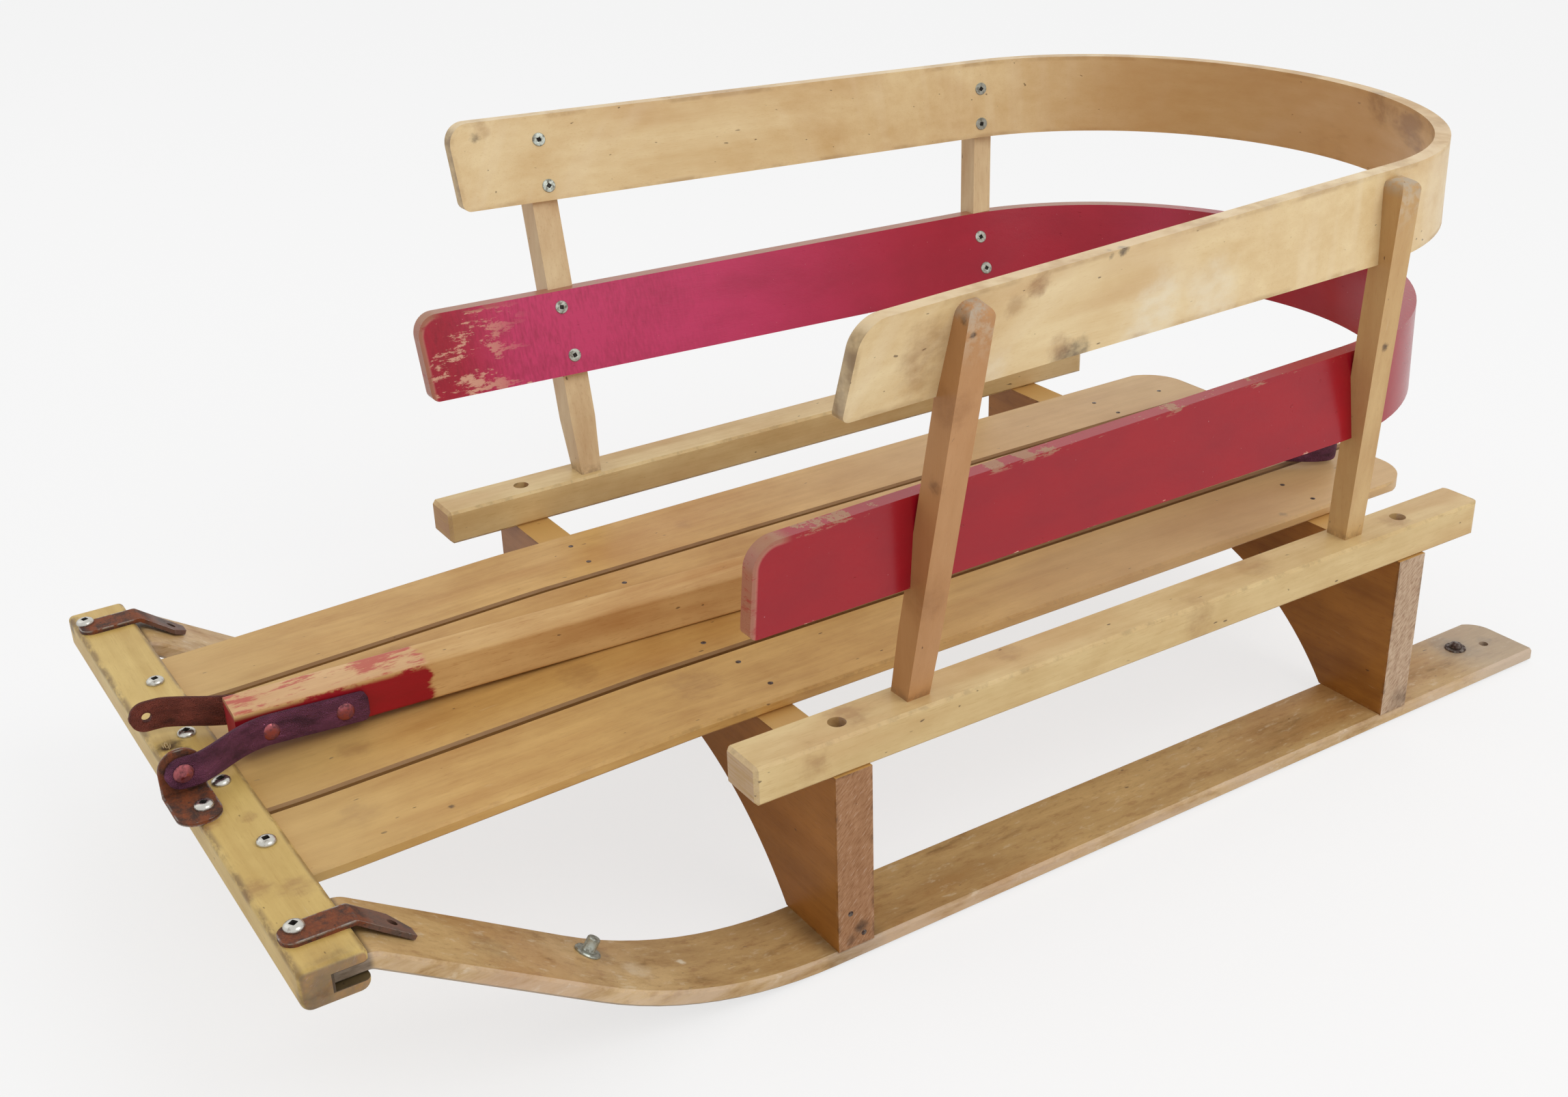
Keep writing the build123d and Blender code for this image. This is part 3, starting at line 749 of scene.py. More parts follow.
def rubbed_rims(shader, node, colour, rough):
    """Handled rims, browned in patches, painted shade on the front end faces, and thick amber
    varnish with painted shade inside the bend.
    """
    x, y, z = shader.position
    low, high = span(node)
    facing_y = shader.facing_signed[1]
    rub = shader.grain((40, 40, 60), 4.0, 0.6)
    smear = shader.grain((14, 14, 40), 4.0, 0.6)
    chatter = shader.noise(shader.vector((x ** 2 + y ** 2) ** 0.5 * 160, x * 8, z * 12), 2.0)
    edge = hoop_rim(shader, node, 3.0 * MM).most((z - low.z).ramp(0.003, 0.0006))
    # Painted shade: the front end faces are darkened brown.
    end = facing_y.ramp(-0.5, -0.85) * (y - along(20)).ramp(0.0, -0.01)
    flat = shader.facing[2].ramp(0.5, 0.8)
    # The faces turned inward in the rear bend get amber varnish together with painted shade.
    inward = facing_y.ramp(0.25, -0.35) * (y - (high.y - 0.13)).ramp(0.0, 0.09)
    smudge = smear.ramp(0.52, 0.68) * (x + 0.02).ramp(0.0, 0.1) * inward
    colour = shader.layers(
        colour, (edge * rub.ramp(0.42, 0.66) * 0.45, HOOP_RIM),
        (end * rub.ramp(0.25, 0.6) * 0.7, HOOP_END_SHADE),
        ((chatter - 0.5).most(0.0) * 0.8, HOOP_CHATTER),
        (flat * rub.ramp(0.6, 0.42) * 0.45, HOOP_FLAT),
        (inward * (smear * 0.5 + 0.35), HOOP_AMBER_AND_SHADE), (smudge * 0.6, HOOP_SMUDGE))
    return colour, rough + edge * 0.12


def red_paint(shader, node, colour, rough):
    """Gloss red paint with a scraped front end, bare rims, chips and crazing, and a faded magenta
    tone with painted sheen inside the right side.
    """
    colours = palette()
    x, y, z = shader.position
    low, high = span(node)
    over = z - high.z
    behind = y - along(HOOP_FRONTS[node][1])
    right = x.ramp(-0.05, -0.11)
    front = behind.ramp(0.016, 0.008)
    flat = shader.facing[2].ramp(0.55, 0.8)
    rim = hoop_rim(shader, node, 3.2 * MM)
    zone = behind.ramp(0.066, 0.02) * right
    smear = shader.grain((40, 66, 230), 8.0, 0.78)
    patch = shader.noise(shader.vector(x * 20, y * 40 + 4.0, z * 70), 3.0)
    scraped = (smear + (patch - 0.5) * 0.7 + zone * 0.02).ramp(0.57, 0.62) * zone * 0.85
    chip = shader.grain((70, 70, 240), 6.0, 0.74, 2.0)
    rims = (over.ramp(-0.0032, -0.0004) + (z - low.z).ramp(0.0022, 0.0003)).least(1.0)
    lost = scraped.most(rims * chip.ramp(0.63, 0.67))
    nick = shader.grain((90, 120, 800), 5.0, 0.75)
    left_edge = over.ramp(-0.0028, -0.0012) * x.above(0.1)
    for middle, half in PAINT_CHIPS:
        near = abs(y - along(middle)).ramp((half + 8) * MM, half * MM * 0.4)
        lost = lost.most(left_edge * (nick + near * 0.17).ramp(0.62, 0.66))
    lost = lost.most(rim * front * chip.ramp(0.3, 0.48) * 0.9)
    lost = lost.most(flat * right * chip.ramp(0.28, 0.4) * 0.85)
    end = shader.facing_signed[1].ramp(-0.5, -0.85) * front
    bare = shader.layers(colour, (scraped.most(1 - flat), colours.scar),
                         (rim.most(end * 0.8) * 0.8, PAINT_EDGE))
    craze = shader.grain((700, 700, 8), 1.0)
    tint = shader.grain((24, 24, 50), 3.0)
    specks = shader.grain((700, 700, 700), 1.0).ramp(0.8, 0.83)
    # Inside the right side the paint turns to a faded magenta with painted sheen, which goes back
    # to deep red towards the front and rear ends.
    deep_red_ends = behind.ramp(0.06, 0.01).most(behind.ramp(0.13, 0.34)) * right
    crazed = (craze - 0.5) * right * behind.ramp(0.22, 0.05)
    red = shader.layers(
        colours.paint, (right, colours.paint_far_faded_and_sheen), (deep_red_ends * 0.85, colours.paint),
        (crazed * 0.9 + (tint - 0.5) * 0.8 + 0.1, PAINT_DEEP), (specks * 0.55, PAINT_SPECK))
    gloss = (tint - 0.5) * 0.12 + (craze - 0.5) * 0.1 * right + right * 0.12 + 0.2
    return shader.blend(1 - lost, bare, red), rough * lost + (1 - lost) * gloss


# Height of the rails' tops, where the stakes stand, in metres
STAKE_FEET = 0.117


def grey_top(shader, node, colour, rough):
    """Weathered, rounded stake tops, painted shade on the front faces and dirt round their feet."""
    z = shader.position[2]
    over = z - span("stake_front_left")[1].z
    worn = over.ramp(-0.009, -0.002)
    rub = shader.grain((200, 200, 200), 4.0, 0.7)
    # Painted shade: faces turned to the front are darkened.
    front = shader.facing_signed[1].ramp(-0.5, -0.85)
    handled = over.ramp(-0.03, -0.006) * rub.ramp(0.4, 0.6) * (1 - front)
    foot = (z - STAKE_FEET).ramp(0.006, 0.0)
    colour = shader.layers(
        colour, (front * 0.3, STAKE_FRONT_SHADE), (handled * 0.45, STAKE_HANDLED),
        (worn * rub.ramp(0.3, 0.6) * 0.6, STAKE_TOP),
        (foot * rub.ramp(0.35, 0.6) * 0.45, STAKE_FOOT))
    return colour, rough + worn * 0.3


class SLED_OT_hoops(bpy.types.Operator):
    """Finishes the varnished upper hoop, the red lower hoop and the stakes"""
    bl_idname = "sled.hoops"
    bl_label = "Hoops and stakes"

    def execute(self, context):
        shades = palette()
        coat_with("hoop_upper", wood("hoop_upper_wood", "hoop", shades.hoop, shades.hoop_dark,
                                     "hoop_upper", coat=0.2, shine=0.36, contrast=0.8,
                                     mottle=0.9, seed=11.0, extra=rubbed_rims), "hoop_wood")
        coat_with("hoop_lower", wood("hoop_lower_paint", "hoop", shades.rail, shades.rail_dark,
                                     "hoop_lower", shine=0.3, seed=23.0, extra=red_paint),
                  "red_paint")
        lights = {"front_left": shades.stake_amber, "rear_left": shades.stake,
                  "front_right": shades.stake_pale, "rear_right": shades.stake_pale}
        for number, (end, light) in enumerate(lights.items()):
            node = f"stake_{end}"
            coat_with(node, wood(f"{node}_wood", "Z", light, shades.stake_dark, node,
                                 contrast=0.7, mottle=0.7, seed=41.0 + 5.0 * number,
                                 extra=grey_top), "stake_wood")
        return {"FINISHED"}


def painted_end(shader, node, colour, rough):
    """Red paint over the front end, mostly rubbed off the top."""
    _, y, z = shader.position
    edge = shader.grain((180, 40, 180), 5.0, 0.65)
    reach = (y + (edge - 0.5) * 0.016 - along(-127)).ramp(0.0015, -0.0015)
    rub = shader.grain((190, 46, 120), 7.0, 0.74)
    blots = shader.grain((60, 34, 60), 3.0)
    upper = shader.facing_signed[2].ramp(0.4, 0.8)
    rim = (z - span(node)[1].z).ramp(-0.0035, -0.001)
    patchy = (y - along(-160)).ramp(-0.03, 0.02)
    kept_top = (rub + patchy * 0.06 + (blots - 0.5) * 0.6).ramp(0.49, 0.6)
    kept = kept_top * upper + (1 - upper) * (1 - rim * rub.ramp(0.4, 0.5))
    share = reach * kept
    red = shader.layers(palette().paint, ((rub - 0.5) * 0.8 + 0.25, POLE_RED_DEEP),
                        (upper * 0.6, POLE_RED_WORN))
    colour = shader.layers(colour, (reach * upper * 0.35, POLE_TINGED),
                           (share * (1 - upper * 0.15), red))
    return colour, rough - share * 0.2


class SLED_OT_pole(bpy.types.Operator):
    """Finishes the bare pull pole with its red front end"""
    bl_idname = "sled.pole"
    bl_label = "Pull pole"

    def execute(self, context):
        shades = palette()
        coat_with("pull_pole", wood("pull_pole_wood", "Y", shades.pole, shades.pole_dark,
                                    "pull_pole", coat=0.0, shine=0.55, contrast=1.3,
                                    end_grain=shades.end_grain, seed=61.0,
                                    extra=painted_end), "pole_wood")
        return {"FINISHED"}


def rusty(node):
    """Rust with dark scale, pits and rubbed edges; the brackets' legs are darker."""
    colours = palette()
    shader = Shader(f"{node}_rust")
    low, high = span(node)
    blotch = shader.grain((150, 150, 150), 6.0, 0.68)
    fine = shader.grain((1100, 1100, 1100), 3.0, 0.7)
    pits = shader.grain((520, 520, 520), 2.0).ramp(0.62, 0.74)
    rubbed = shader.edges(low, high, 0.9 * MM) * blotch.ramp(0.6, 0.4)
    leg = 0.0
    if node.startswith("bracket"):
        leg = (shader.position[2] - high.z).ramp(-0.002, -0.006)
    colour = shader.layers(
        shader.blend(blotch.ramp(0.36, 0.62), colours.rust_dark, colours.rust),
        (fine.ramp(0.5, 0.7) * 0.3, RUST_GRAIN), (pits * 0.7, RUST_PIT), (leg * 0.55, IRON_LEG),
        (rubbed * 0.7, IRON_EDGE))
    return shader.finish(colour, 0.78 - rubbed * 0.4 - leg * 0.2,
                         blotch * 0.7 + fine * 0.5 - pits, 0.3 * MM,
                         metallic=rubbed * 0.8 + leg * 0.3)


class SLED_OT_iron(bpy.types.Operator):
    """Finishes the rusty brackets, tow tab and pivot rivet"""
    bl_idname = "sled.iron"
    bl_label = "Iron fittings"

    def execute(self, context):
        for node in ("bracket_left", "bracket_right", "tow_tab"):
            coat_with(node, rusty(node), "rusty_steel")
        dull = metal("pivot_rivet_metal", RIVET, RIVET_DULL, 0.5)
        coat_with("pivot_rivet", dull, "rusty_steel")
        return {"FINISHED"}


# Middle line of each strap in plan, from its round end at the pivot to its tail
STRAPS = {
    "left": ((29.5, -249.4), (29.5, -240), (29.3, -233), (14.2, -209), (14.6, -190),
             (16.2, -156.2)),
    "right": ((-26.3, -249.4), (-26.3, -240), (-26.1, -233), (-10.6, -209), (-8.8, -190),
              (-6.8, -156.2)),
}
PIVOT_Y = -242.0
PIVOT_Z = 115.7
STRAP_TAIL_Y = -156.0
STRAP_DROP = 3.0
# The straps' rivets on the pole: place along and height, each strap's x at the rear one, how
# x changes along the strap, and half the leather's thickness with room to spare
STRAP_RIVETS = ((-200.0, 113.6), (-167.0, 112.9))
STRAP_RIVET_X = {"left": 15.35, "right": -7.6}
STRAP_SLOPE = 0.055
HALF_THICK = 1.45
# Rounds of corner cutting on a strap's line, and corners round a strap's section
CUTTING_ROUNDS = 3
BAND_CORNERS = 20
# Steps along a strap, the height of its wave and the length of one radian of it, in metres
BAND_STEP = 1.2 * MM
WAVE_HEIGHT = 0.16 * MM
WAVE_RADIAN = 11 * MM
# Radius of a strap's end at the pivot, of its tail and of the loop's two ends, in metres
PIVOT_END = 7.4 * MM
TAIL_END = 3.2 * MM
LOOP_END = 3.5 * MM


def rounded_path(points):
    """Corner cutting that keeps both ends."""
    line = [Vector(point) for point in points]
    for _ in range(CUTTING_ROUNDS):
        cut = [line[0]]
        for start, end in zip(line, line[1:]):
            cut += [start.lerp(end, 0.25), start.lerp(end, 0.75)]
        line = cut + [line[-1]]
    return line


def even_steps(line, step):
    """Points along a line at even steps, with both ends kept."""
    lengths = [(end - start).length for start, end in zip(line, line[1:])]
    total = sum(lengths)
    count = max(2, round(total / step))
    found = []
    for index in range(count + 1):
        goal = total * index / count
        for start, end, length in zip(line, line[1:], lengths):
            if goal <= length or end is line[-1]:
                found.append(start.lerp(end, min(1.0, goal / length)))
                break
            goal -= length
    return found


def leather_band(name, line, start_radius, end_radius):
    """A leather strap on edge along a line, with rounded ends, full edges and a soft wave."""
    sizes = bpy.context.scene.sled_sizes
    half_height = sizes.strap_half
    points = even_steps(line, BAND_STEP)
    total = sum((after - before).length for before, after in zip(points, points[1:]))
    shape = bmesh.new()
    loops = []
    travelled = 0.0
    for index, point in enumerate(points):
        before = points[max(index - 1, 0)]
        travelled += (point - before).length
        tangent = points[min(index + 1, len(points) - 1)] - before
        across = Vector((tangent.y, -tangent.x, 0)).normalized()
        height = half_height
        for gap, radius in ((travelled, start_radius), (total - travelled, end_radius)):
            if gap < radius:
                shrink = radius - math.sqrt(max(radius ** 2 - (radius - gap) ** 2, 0.0))
                height = min(height, max(half_height - shrink, 0.12 * half_height))
        wave = WAVE_HEIGHT * math.sin(travelled / WAVE_RADIAN)
        wave *= math.sin(math.pi * travelled / total)
        loop = []
        for step in range(BAND_CORNERS):
            angle = 2 * math.pi * step / BAND_CORNERS
            flat = math.copysign(abs(math.cos(angle)) ** 0.35, math.cos(angle))
            tall = math.copysign(abs(math.sin(angle)) ** 0.6, math.sin(angle))
            swell = 0.92 + 0.08 * math.cos(math.pi * tall)
            side = across * (flat * swell * sizes.strap_thick / 2 + wave)
            loop.append(shape.verts.new(point + side + Vector((0, 0, tall * height))))
        loops.append(loop)
    skin(shape, loops)
    shape.faces.new(tuple(loops[-1]))
    bmesh.ops.recalc_face_normals(shape, faces=shape.faces)
    return to_mesh(shape, name)


def punched(mesh, centre):
    """The mesh with the pivot's round hole through it along X."""
    tool = bpy.data.objects.new("punch", turned(MM, PUNCH))
    tool.matrix_world = Matrix.Translation(centre) @ Matrix.Rotation(math.pi / 2, 4, "Y")
    work = bpy.data.objects.new("punched", mesh)
    for thing in (tool, work):
        bpy.context.scene.collection.objects.link(thing)
    cut = work.modifiers.new("hole", "BOOLEAN")
    cut.operation = "DIFFERENCE"
    cut.object = tool
    cut.solver = "EXACT"
    bpy.context.view_layer.update()
    graph = bpy.context.evaluated_depsgraph_get()
    result = bpy.data.meshes.new_from_object(work.evaluated_get(graph))
    for thing in (tool, work):
        bpy.data.objects.remove(thing)
    return result


def leather(name, tint):
    """Old smooth leather: fine pebble, cracks and rubbed edges."""
    shader = Shader(name)
    pebble = shader.add("ShaderNodeTexVoronoi", {"feature": "DISTANCE_TO_EDGE"},
                        {"Vector": shader.vector(*shader.position), "Scale": 1500.0}, "Distance")
    wear = shader.grain((90, 70, 160), 5.0, 0.62)
    cracks = shader.grain((500, 90, 700), 5.0, 0.7).ramp(0.62, 0.68)
    pale = tuple(min(1.0, 1.9 * part + 0.01) for part in tint)
    deep = tuple(0.3 * part for part in tint)
    rim = shader.facing[2].ramp(0.5, 0.9)
    colour = shader.layers(
        tint, (wear.ramp(0.45, 0.72) * 0.7, pale), (wear.ramp(0.5, 0.3) * 0.7, deep),
        (cracks * 0.5, LEATHER_CRACK), (rim * wear.ramp(0.35, 0.6) * 0.4, LEATHER_RIM))
    return shader.finish(colour, 0.48 + wear * 0.2 + cracks * 0.2,
                         pebble * 220.0 + wear * 0.8 - cracks * 0.8, 0.14 * MM,
                         Specular_IOR_Level=0.35)


class SLED_OT_straps(bpy.types.Operator):
    """Makes the two leather straps with their rivets"""
    bl_idname = "sled.straps"
    bl_label = "Straps"

    def execute(self, context):
        colours = palette()
        hides = {"left": leather("strap_leather", colours.leather),
                 "right": leather("strap_leather_far", colours.leather_far)}
        head = rivet_dome(context.scene.sled_sizes.strap_rivet, 1.5)
        rivets = []
        for side, points in STRAPS.items():
            name = f"strap_{side}_leather"
            line = []
            for x, y in points:
                share = (y - PIVOT_Y) / (STRAP_TAIL_Y - PIVOT_Y)
                line.append(place(x, y, PIVOT_Z - STRAP_DROP * max(share, 0.0)))
            mesh = leather_band(name, rounded_path(line), PIVOT_END, TAIL_END)
            mesh = punched(mesh, place(points[0][0], PIVOT_Y, PIVOT_Z))
            band = new_object(name, mesh, hides[side], "pole")
            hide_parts(f"strap_{side}")
            outward = 1 if side == "left" else -1
            for y, z in STRAP_RIVETS:
                x = STRAP_RIVET_X[side] + (y - STRAP_RIVETS[-1][0]) * STRAP_SLOPE
                where = place(x + outward * HALF_THICK, y, z)
                rivets.append((head, upright(where, (outward, -STRAP_SLOPE, 0))))
        tarnished = metal("strap_rivet_metal", RIVET, RIVET_DULL, 0.5)
        gather("strap_rivets", rivets, tarnished, "pole")
        return {"FINISHED"}


# The hand loop's middle line in plan, in the pole's own direction from its rear end
LOOP = ((11.5, -38), (11.5, -20), (11.5, 0), (38.0, 33), (21, 45.5), (0, 46), (-21, 45.5),
        (-38.0, 33), (-11.5, 0), (-11.5, -20), (-11.5, -38))
LOOP_RIVETS = (-12.0, -29.0)
LOOP_RIVET_OUT = 12.9
POLE_END = (33.4, 366.0)
POLE_TURN = math.atan(31.8 / 579.0)


def by_pole_end(x, y):
    """A place in the pole's own direction from its rear end, at its middle height."""
    low, high = span("pull_pole")
    across = x * math.cos(POLE_TURN) + y * math.sin(POLE_TURN)
    ahead = y * math.cos(POLE_TURN) - x * math.sin(POLE_TURN)
    return place(POLE_END[0] + across, POLE_END[1] + ahead, (low.z + high.z) / 2 / MM)


class SLED_OT_hand_loop(bpy.types.Operator):
    """Makes the leather hand loop at the pole's rear end"""
    bl_idname = "sled.hand_loop"
    bl_label = "Hand loop"

    def execute(self, context):
        line = rounded_path([by_pole_end(x, y) for x, y in LOOP])
        band = new_object("hand_loop_leather",
                          leather_band("hand_loop_leather", line, LOOP_END, LOOP_END),
                          bpy.data.materials["strap_leather"], "pole")
        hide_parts("hand_loop")
        head = rivet_dome(context.scene.sled_sizes.strap_rivet * 0.85, 1.3)
        rows = []
        for y in LOOP_RIVETS:
            for sign in (1, -1):
                where = by_pole_end(sign * LOOP_RIVET_OUT, y)
                rows.append((head, upright(where, (sign, -sign * POLE_TURN, 0))))
        gather("hand_loop_rivets", rows, bpy.data.materials["strap_rivet_metal"], "pole")
        return {"FINISHED"}


# Domed screws seen from above: carrying node, place across and along, turn in degrees
BAR_SCREWS = (
    ("nose_bar", -75.6, -226.2, 12), ("nose_bar", -20.6, -227.6, 40),
    ("nose_bar", 27.5, -227.0, 25), ("nose_bar", 82.0, -225.6, 5),
    ("bracket_right", -152.5, -239.0, 18), ("bracket_left", 145.0, -235.8, 33),
    ("tow_tab", 44.0, -239.0, 51),
)
# Flat screws in the hoops: side, hoop, place along and height
HOOP_SCREWS = (
    (-1, "hoop_upper", 46.0, 295.6), (-1, "hoop_upper", 46.5, 271.6),
    (-1, "hoop_lower", 39.3, 209.0), (-1, "hoop_lower", 41.0, 183.2),
    (-1, "hoop_upper", 316.0, 292.5), (-1, "hoop_upper", 316.0, 272.0),
    (-1, "hoop_lower", 314.0, 203.8), (-1, "hoop_lower", 314.0, 185.6),
    (1, "hoop_upper", 39.5, 298.0), (1, "hoop_upper", 39.5, 272.5),
    (1, "hoop_lower", 40.0, 210.0), (1, "hoop_lower", 40.0, 183.5),
    (1, "hoop_upper", 302.5, 294.0), (1, "hoop_upper", 304.0, 271.0),
    (1, "hoop_lower", 307.0, 206.0), (1, "hoop_lower", 308.5, 184.0),
)


# Places in millimetres across, along and, where there are three, up: the screws in the rails
# (along alone) and in the runners' tails, the stud, and the nail in the nose bar's end
RAIL_SCREWS = (0.0, 350.0)
TAIL_SCREW = (142.8, 431.8)
STUD_PLACE = (138.7, -116.9)
STUD_LEAN = (0.0, 0.12, 0.12)
END_NAIL = (-190, -240.5, 99.5)


class SLED_OT_screws(bpy.types.Operator):
    """Puts in the screws of bar, hoops, rails and runners, the stud and the bar's end nail"""
    bl_idname = "sled.screws"
    bl_label = "Screws"

    def execute(self, context):
        sizes = context.scene.sled_sizes
        colours = palette()
        up = (0, 0, 1)
        # A near-black material painted into the sockets as their shade
        metal("screw_socket_shade", SOCKET_SHADE, SOCKET_SHADE_DEEP, 0.5, 0.6)
        zinc = metal("zinc_plate", colours.zinc, ZINC_STAIN, 0.38, 0.26)
        dull_zinc = metal("dull_zinc", DULL_ZINC, DULL_ZINC_STAIN, 0.48, 0.4)
        dark = metal("old_iron", OLD_IRON, colours.rust_dark, 0.55)
        domed = turned(sizes.deck_screw, DOMED_HEAD, 28, sizes.socket, DOMED_SOCKET)
        rows = []
        for node, x, y, turn in BAR_SCREWS:
            where, _ = from_above(node, x, y)
            rows.append((domed, upright(where, up, math.radians(turn))))
        gather("bar_screws", rows, zinc)
        flat = turned(sizes.hoop_screw, FLAT_HEAD, 28, sizes.socket * 0.8, FLAT_SOCKET)
        rows = []
        for number, (sign, node, y, z) in enumerate(HOOP_SCREWS):
            where, normal = seat(node, place(0, y, z), (sign, 0, 0))
            rows.append((flat, upright(where, normal, math.radians(17 + 31 * number))))
        gather("hoop_screws", rows, dull_zinc)
        sunk = turned(3.4 * MM, FLAT_HEAD, 28, sizes.socket, FLAT_SOCKET)
        rows = []
        for node in ("rail_left", "rail_right"):
            low, high = span(node)
            for y in RAIL_SCREWS:
                where, _ = from_above(node, ((low.x + high.x) / 2 - MIDDLE.x) / MM, y)
                rows.append((sunk, upright(where, up, 0.5)))
        washer, bolt = turned(MM, WASHER, 30), turned(MM, BOLT, 24)
        for sign, node in ((1, "runner_left"), (-1, "runner_right")):
            where, _ = from_above(node, sign * TAIL_SCREW[0], TAIL_SCREW[1], OVER_RUNNERS)
            rows += [(washer, upright(where, up)), (bolt, upright(where, up))]
        gather("sunk_screws", rows, dark)
        where, normal = from_above("runner_left", *STUD_PLACE, OVER_RUNNERS)
        lean = (normal + Vector(STUD_LEAN)).normalized()
        gather("runner_stud", [(turned(MM, STUD), upright(where, lean))], dull_zinc)
        where, _ = seat("nose_bar", place(*END_NAIL), (1, 0, 0))
        nail = turned(3.0 * MM, NAIL_HEAD, 18)
        gather("bar_end_nail", [(nail, upright(where, (-1, 0, 0)))], dark)
        return {"FINISHED"}


# Nails seen from above: place across and along
DECK_NAILS = (
    (-92, -2.3), (-70, -3), (-37.2, 0.4), (41.5, 0.7), (67.1, 4.5), (92.5, 6.1), (-83.7, 356),
    (-62.8, 356.8), (73, 355), (95.6, 354.5), (-75, 402), (-14, 1), (14, -1), (-33, 356), (30, 356),
)


# Nails in the left foot of the front bolster: place along and height
FOOT_NAILS = ((-3.0, 26.0), (4.0, 13.0))


class SLED_OT_nails(bpy.types.Operator):
    """Drives the nails of the deck and of the front bolster's foot"""
    bl_idname = "sled.nails"
    bl_label = "Nails"

    def execute(self, context):
        head = turned(context.scene.sled_sizes.nail, NAIL_HEAD, 18)
        rows = []
        for x, y in DECK_NAILS:
            for node in ("slat_1", "slat_2", "slat_3", "slat_4"):
                low, high = span(node)
                if low.x < MIDDLE.x + x * MM < high.x:
                    where, _ = from_above(node, x, y)
                    rows.append((head, upright(where, (0, 0, 1))))
        for y, z in FOOT_NAILS:
            where, _ = seat("bolster_front", place(190, y, z), (-1, 0, 0))
            rows.append((head, upright(where, (1, 0, 0))))
        gather("nails", rows, bpy.data.materials["old_iron"])
        return {"FINISHED"}


# The hole of the lost tow tab, across and along
LOST_TAB = (-14.3, -238.2)
SPLINTERS = 11


class SLED_OT_splinters(bpy.types.Operator):
    """Raises the torn fibres where the second tow tab was wrenched off"""
    bl_idname = "sled.splinters"
    bl_label = "Splinters"

    def execute(self, context):
        shape = bmesh.new()
        for number in range(SPLINTERS):
            turn = 2.4 * number
            reach = 1.0 + 0.42 * (number % 5)
            foot, _ = from_above("nose_bar", LOST_TAB[0] + reach * math.cos(turn),
                                 LOST_TAB[1] + 0.6 * reach * math.sin(turn))
            tip = foot + Vector((1.8 * math.sin(3.1 * number), 0.9 * math.cos(1.7 * number),
                                 1.5 + 0.5 * (number % 4))) * MM
            corners = [foot + Vector((0.6 * math.cos(turn + step), 0.35 * math.sin(turn + step),
                                      -0.4)) * MM for step in (0.0, 2.1, 4.2)]
            base = [shape.verts.new(corner) for corner in corners]
            point = shape.verts.new(tip)
            shape.faces.new(tuple(reversed(base)))
            for first, second in zip(base, base[1:] + base[:1]):
                shape.faces.new((first, second, point))
        bmesh.ops.recalc_face_normals(shape, faces=shape.faces)
        shades = palette()
        fibre = wood("splinter_wood", "X", shades.stake_pale, shades.stake, coat=0.0,
                     shine=0.7, seed=77.0)
        new_object("splinters", to_mesh(shape, "splinters"), fibre, "sled")
        return {"FINISHED"}


# The camera's fit to the picture: place in millimetres, turn, tilt and roll in radians
CAMERA_PLACE = (709.472, -369.159, 519.244)
CAMERA_TURN = 1.013
CAMERA_TILT = -0.448
CAMERA_ROLL = -0.033
FOCAL_PIXELS = 2670.388
PICTURE_WIDTH = 2296
SENSOR_WIDTH = 36.0
# Where the lamps point, and each lamp's name, place, size and share of the key's power
LAMP_AIM = (0.0, 0.05, 0.15)
LAMPS = (("key", (1.3, 0.5, 1.5), 1.2, 1.0), ("fill", (-1.4, -1.0, 1.6), 1.8, 0.35))
FLOOR_SIZE = 6.0
FLOOR_DROP = 0.4 * MM
FLOOR_WHITE = (0.9, 0.9, 0.9)
FLOOR_GLOW = 0.7


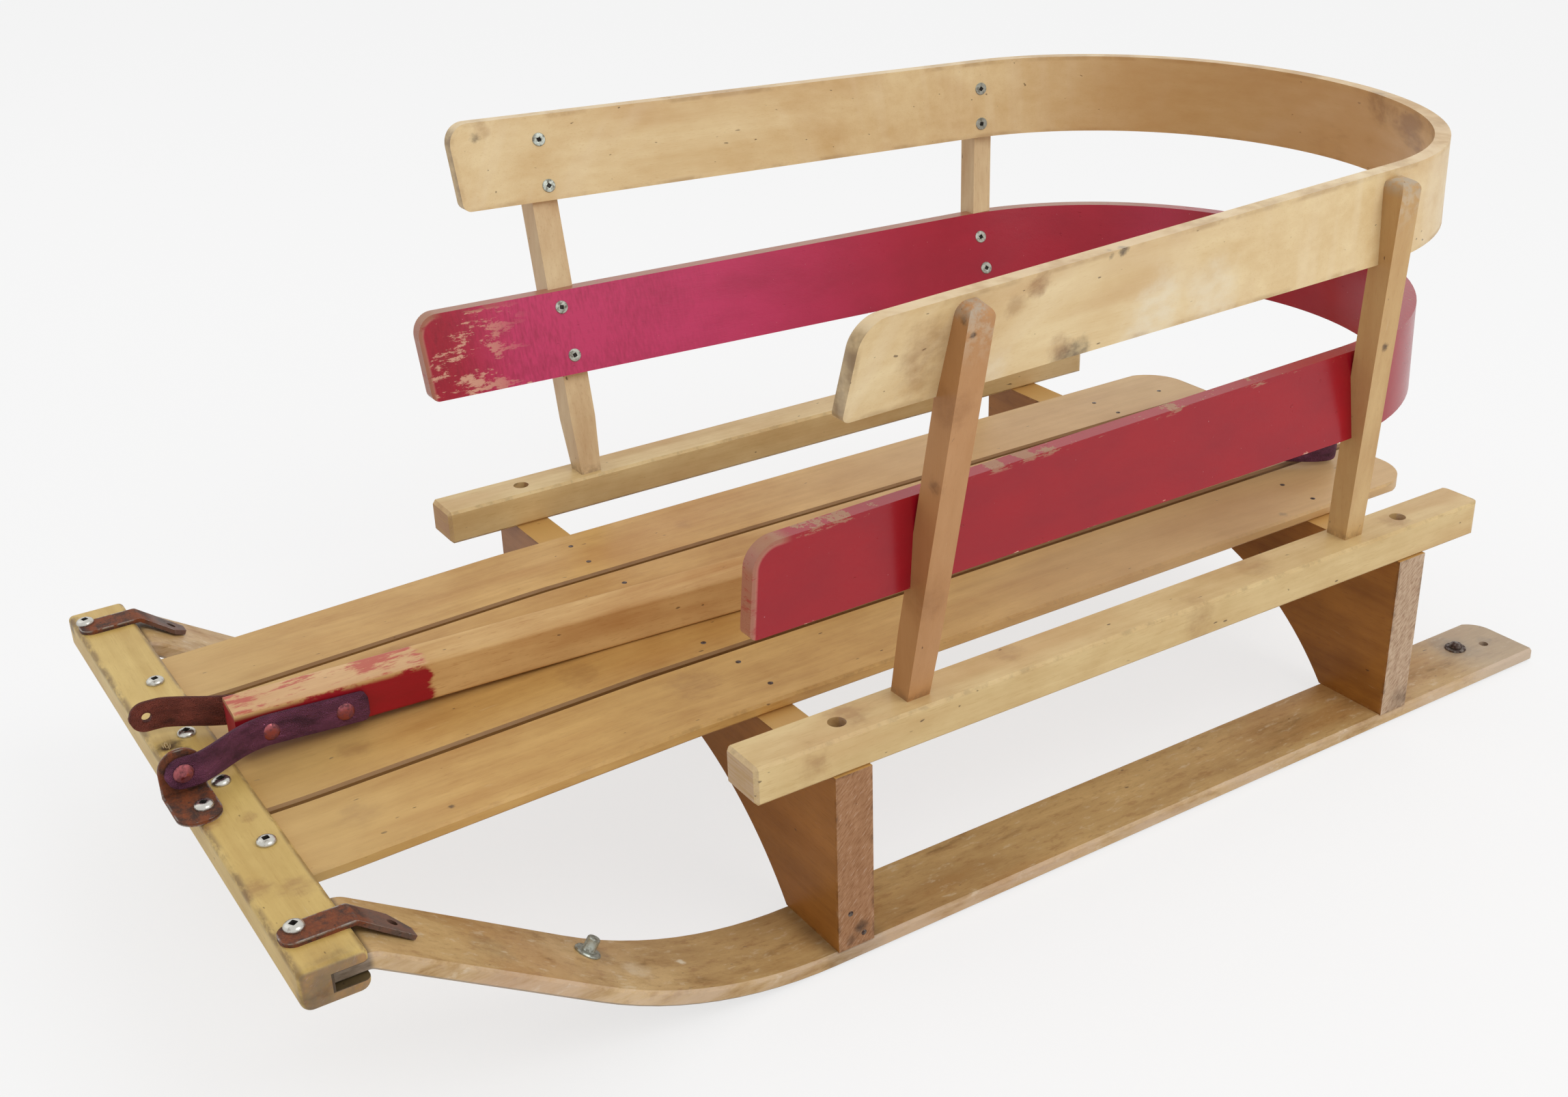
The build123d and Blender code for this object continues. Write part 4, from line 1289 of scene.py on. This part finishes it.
class SLED_OT_stage(bpy.types.Operator):
    """Sets the floor, the soft light and the camera"""
    bl_idname = "sled.stage"
    bl_label = "Stage"

    def execute(self, context):
        scene = context.scene
        scene.view_settings.view_transform = "Standard"
        self.floor(scene)
        self.lights(scene)
        self.camera(scene)
        return {"FINISHED"}

    @staticmethod
    def floor(scene):
        """A white floor that glows a little for the camera alone."""
        shape = bmesh.new()
        bmesh.ops.create_grid(shape, x_segments=8, y_segments=8, size=FLOOR_SIZE)
        mesh = to_mesh(shape, "floor")
        floor = bpy.data.objects.new("floor", mesh)
        scene.collection.objects.link(floor)
        floor.location.z = -FLOOR_DROP
        shader = Shader("floor_white")
        matte = shader.add("ShaderNodeBsdfPrincipled", None,
                           {"Base Color": (*FLOOR_WHITE, 1.0), "Roughness": 0.9,
                            "Specular IOR Level": 0.1}, "BSDF")
        glow = shader.add("ShaderNodeEmission", None, {"Color": (*WHITE, 1.0)}, "Emission")
        seen = shader.add("ShaderNodeLightPath", None, None, "Is Camera Ray") * FLOOR_GLOW
        mix = shader.add("ShaderNodeMixShader", None, {0: seen, 1: matte, 2: glow}, 0)
        mesh.materials.append(shader.close(mix))

    @staticmethod
    def lights(scene):
        """Even light all round, white to the eye and in reflections, and two soft lamps."""
        settings = scene.sled_stage
        scene.world = bpy.data.worlds.new("even_light")
        sky = Nodes(scene.world)
        rays = sky.add("ShaderNodeLightPath").outputs
        seen = Tap(sky, rays["Is Camera Ray"]).most(Tap(sky, rays["Is Glossy Ray"]))
        strength = sky.add("ShaderNodeMapRange", None,
                           {"Value": seen, "To Min": settings.sky, "To Max": 1.0}, "Result")
        light = sky.add("ShaderNodeBackground", None,
                        {"Color": (*WHITE, 1.0), "Strength": strength}, "Background")
        sky.add("ShaderNodeOutputWorld", None, {"Surface": light})
        for name, spot, size, share in LAMPS:
            lamp = bpy.data.lights.new(name, "AREA")
            lamp.shape = "DISK"
            lamp.size = size
            lamp.energy = settings.key * share
            thing = bpy.data.objects.new(name, lamp)
            thing.location = spot
            aim = Vector(LAMP_AIM) - Vector(spot)
            thing.rotation_euler = aim.to_track_quat("-Z", "Y").to_euler()
            scene.collection.objects.link(thing)

    @staticmethod
    def camera(scene):
        lens = bpy.data.cameras.new("camera")
        lens.sensor_width = SENSOR_WIDTH
        lens.lens = FOCAL_PIXELS / PICTURE_WIDTH * SENSOR_WIDTH
        lens.clip_start = 0.01
        camera = bpy.data.objects.new("camera", lens)
        ahead = Vector((-math.sin(CAMERA_TURN) * math.cos(CAMERA_TILT),
                        math.cos(CAMERA_TURN) * math.cos(CAMERA_TILT), math.sin(CAMERA_TILT)))
        right = Vector((math.cos(CAMERA_TURN), math.sin(CAMERA_TURN), 0.0))
        above = right.cross(ahead)
        level, steep = math.cos(CAMERA_ROLL), math.sin(CAMERA_ROLL)
        rolled_right = right * level + above * steep
        rolled_up = above * level - right * steep
        turn = Matrix((rolled_right, rolled_up, -ahead)).transposed().to_4x4()
        camera.matrix_world = Matrix.Translation(place(*CAMERA_PLACE)) @ turn
        scene.collection.objects.link(camera)
        scene.camera = camera


class SLED_PT_panel(bpy.types.Panel):
    """Lists the steps that finish the sled"""
    bl_idname = "SLED_PT_panel"
    bl_label = "Snow sled"
    bl_space_type = "VIEW_3D"
    bl_region_type = "UI"
    bl_category = "Sled"

    def draw(self, context):
        for step in STEPS:
            self.layout.operator(step.bl_idname)
        for group in ("sled_colours", "sled_sizes", "sled_stage"):
            box = self.layout.box()
            settings = getattr(context.scene, group)
            for key in settings.__annotations__:
                box.prop(settings, key)


GROUPS = {"sled_colours": SledColours, "sled_sizes": SledSizes, "sled_stage": SledStage}
STEPS = (SLED_OT_boards, SLED_OT_hoops, SLED_OT_pole, SLED_OT_iron, SLED_OT_straps,
         SLED_OT_hand_loop, SLED_OT_screws, SLED_OT_nails, SLED_OT_splinters, SLED_OT_stage)


def register():
    for kind in (*GROUPS.values(), *STEPS, SLED_PT_panel):
        bpy.utils.register_class(kind)
    for name, group in GROUPS.items():
        setattr(bpy.types.Scene, name, PointerProperty(type=group))


def unregister():
    for name in GROUPS:
        delattr(bpy.types.Scene, name)
    for kind in (SLED_PT_panel, *reversed(STEPS), *reversed(GROUPS.values())):
        bpy.utils.unregister_class(kind)


def main():
    register()
    for step in STEPS:
        group, action = step.bl_idname.split(".")
        getattr(getattr(bpy.ops, group), action)()
    bpy.context.view_layer.update()


if __name__ == "__main__":
    main()
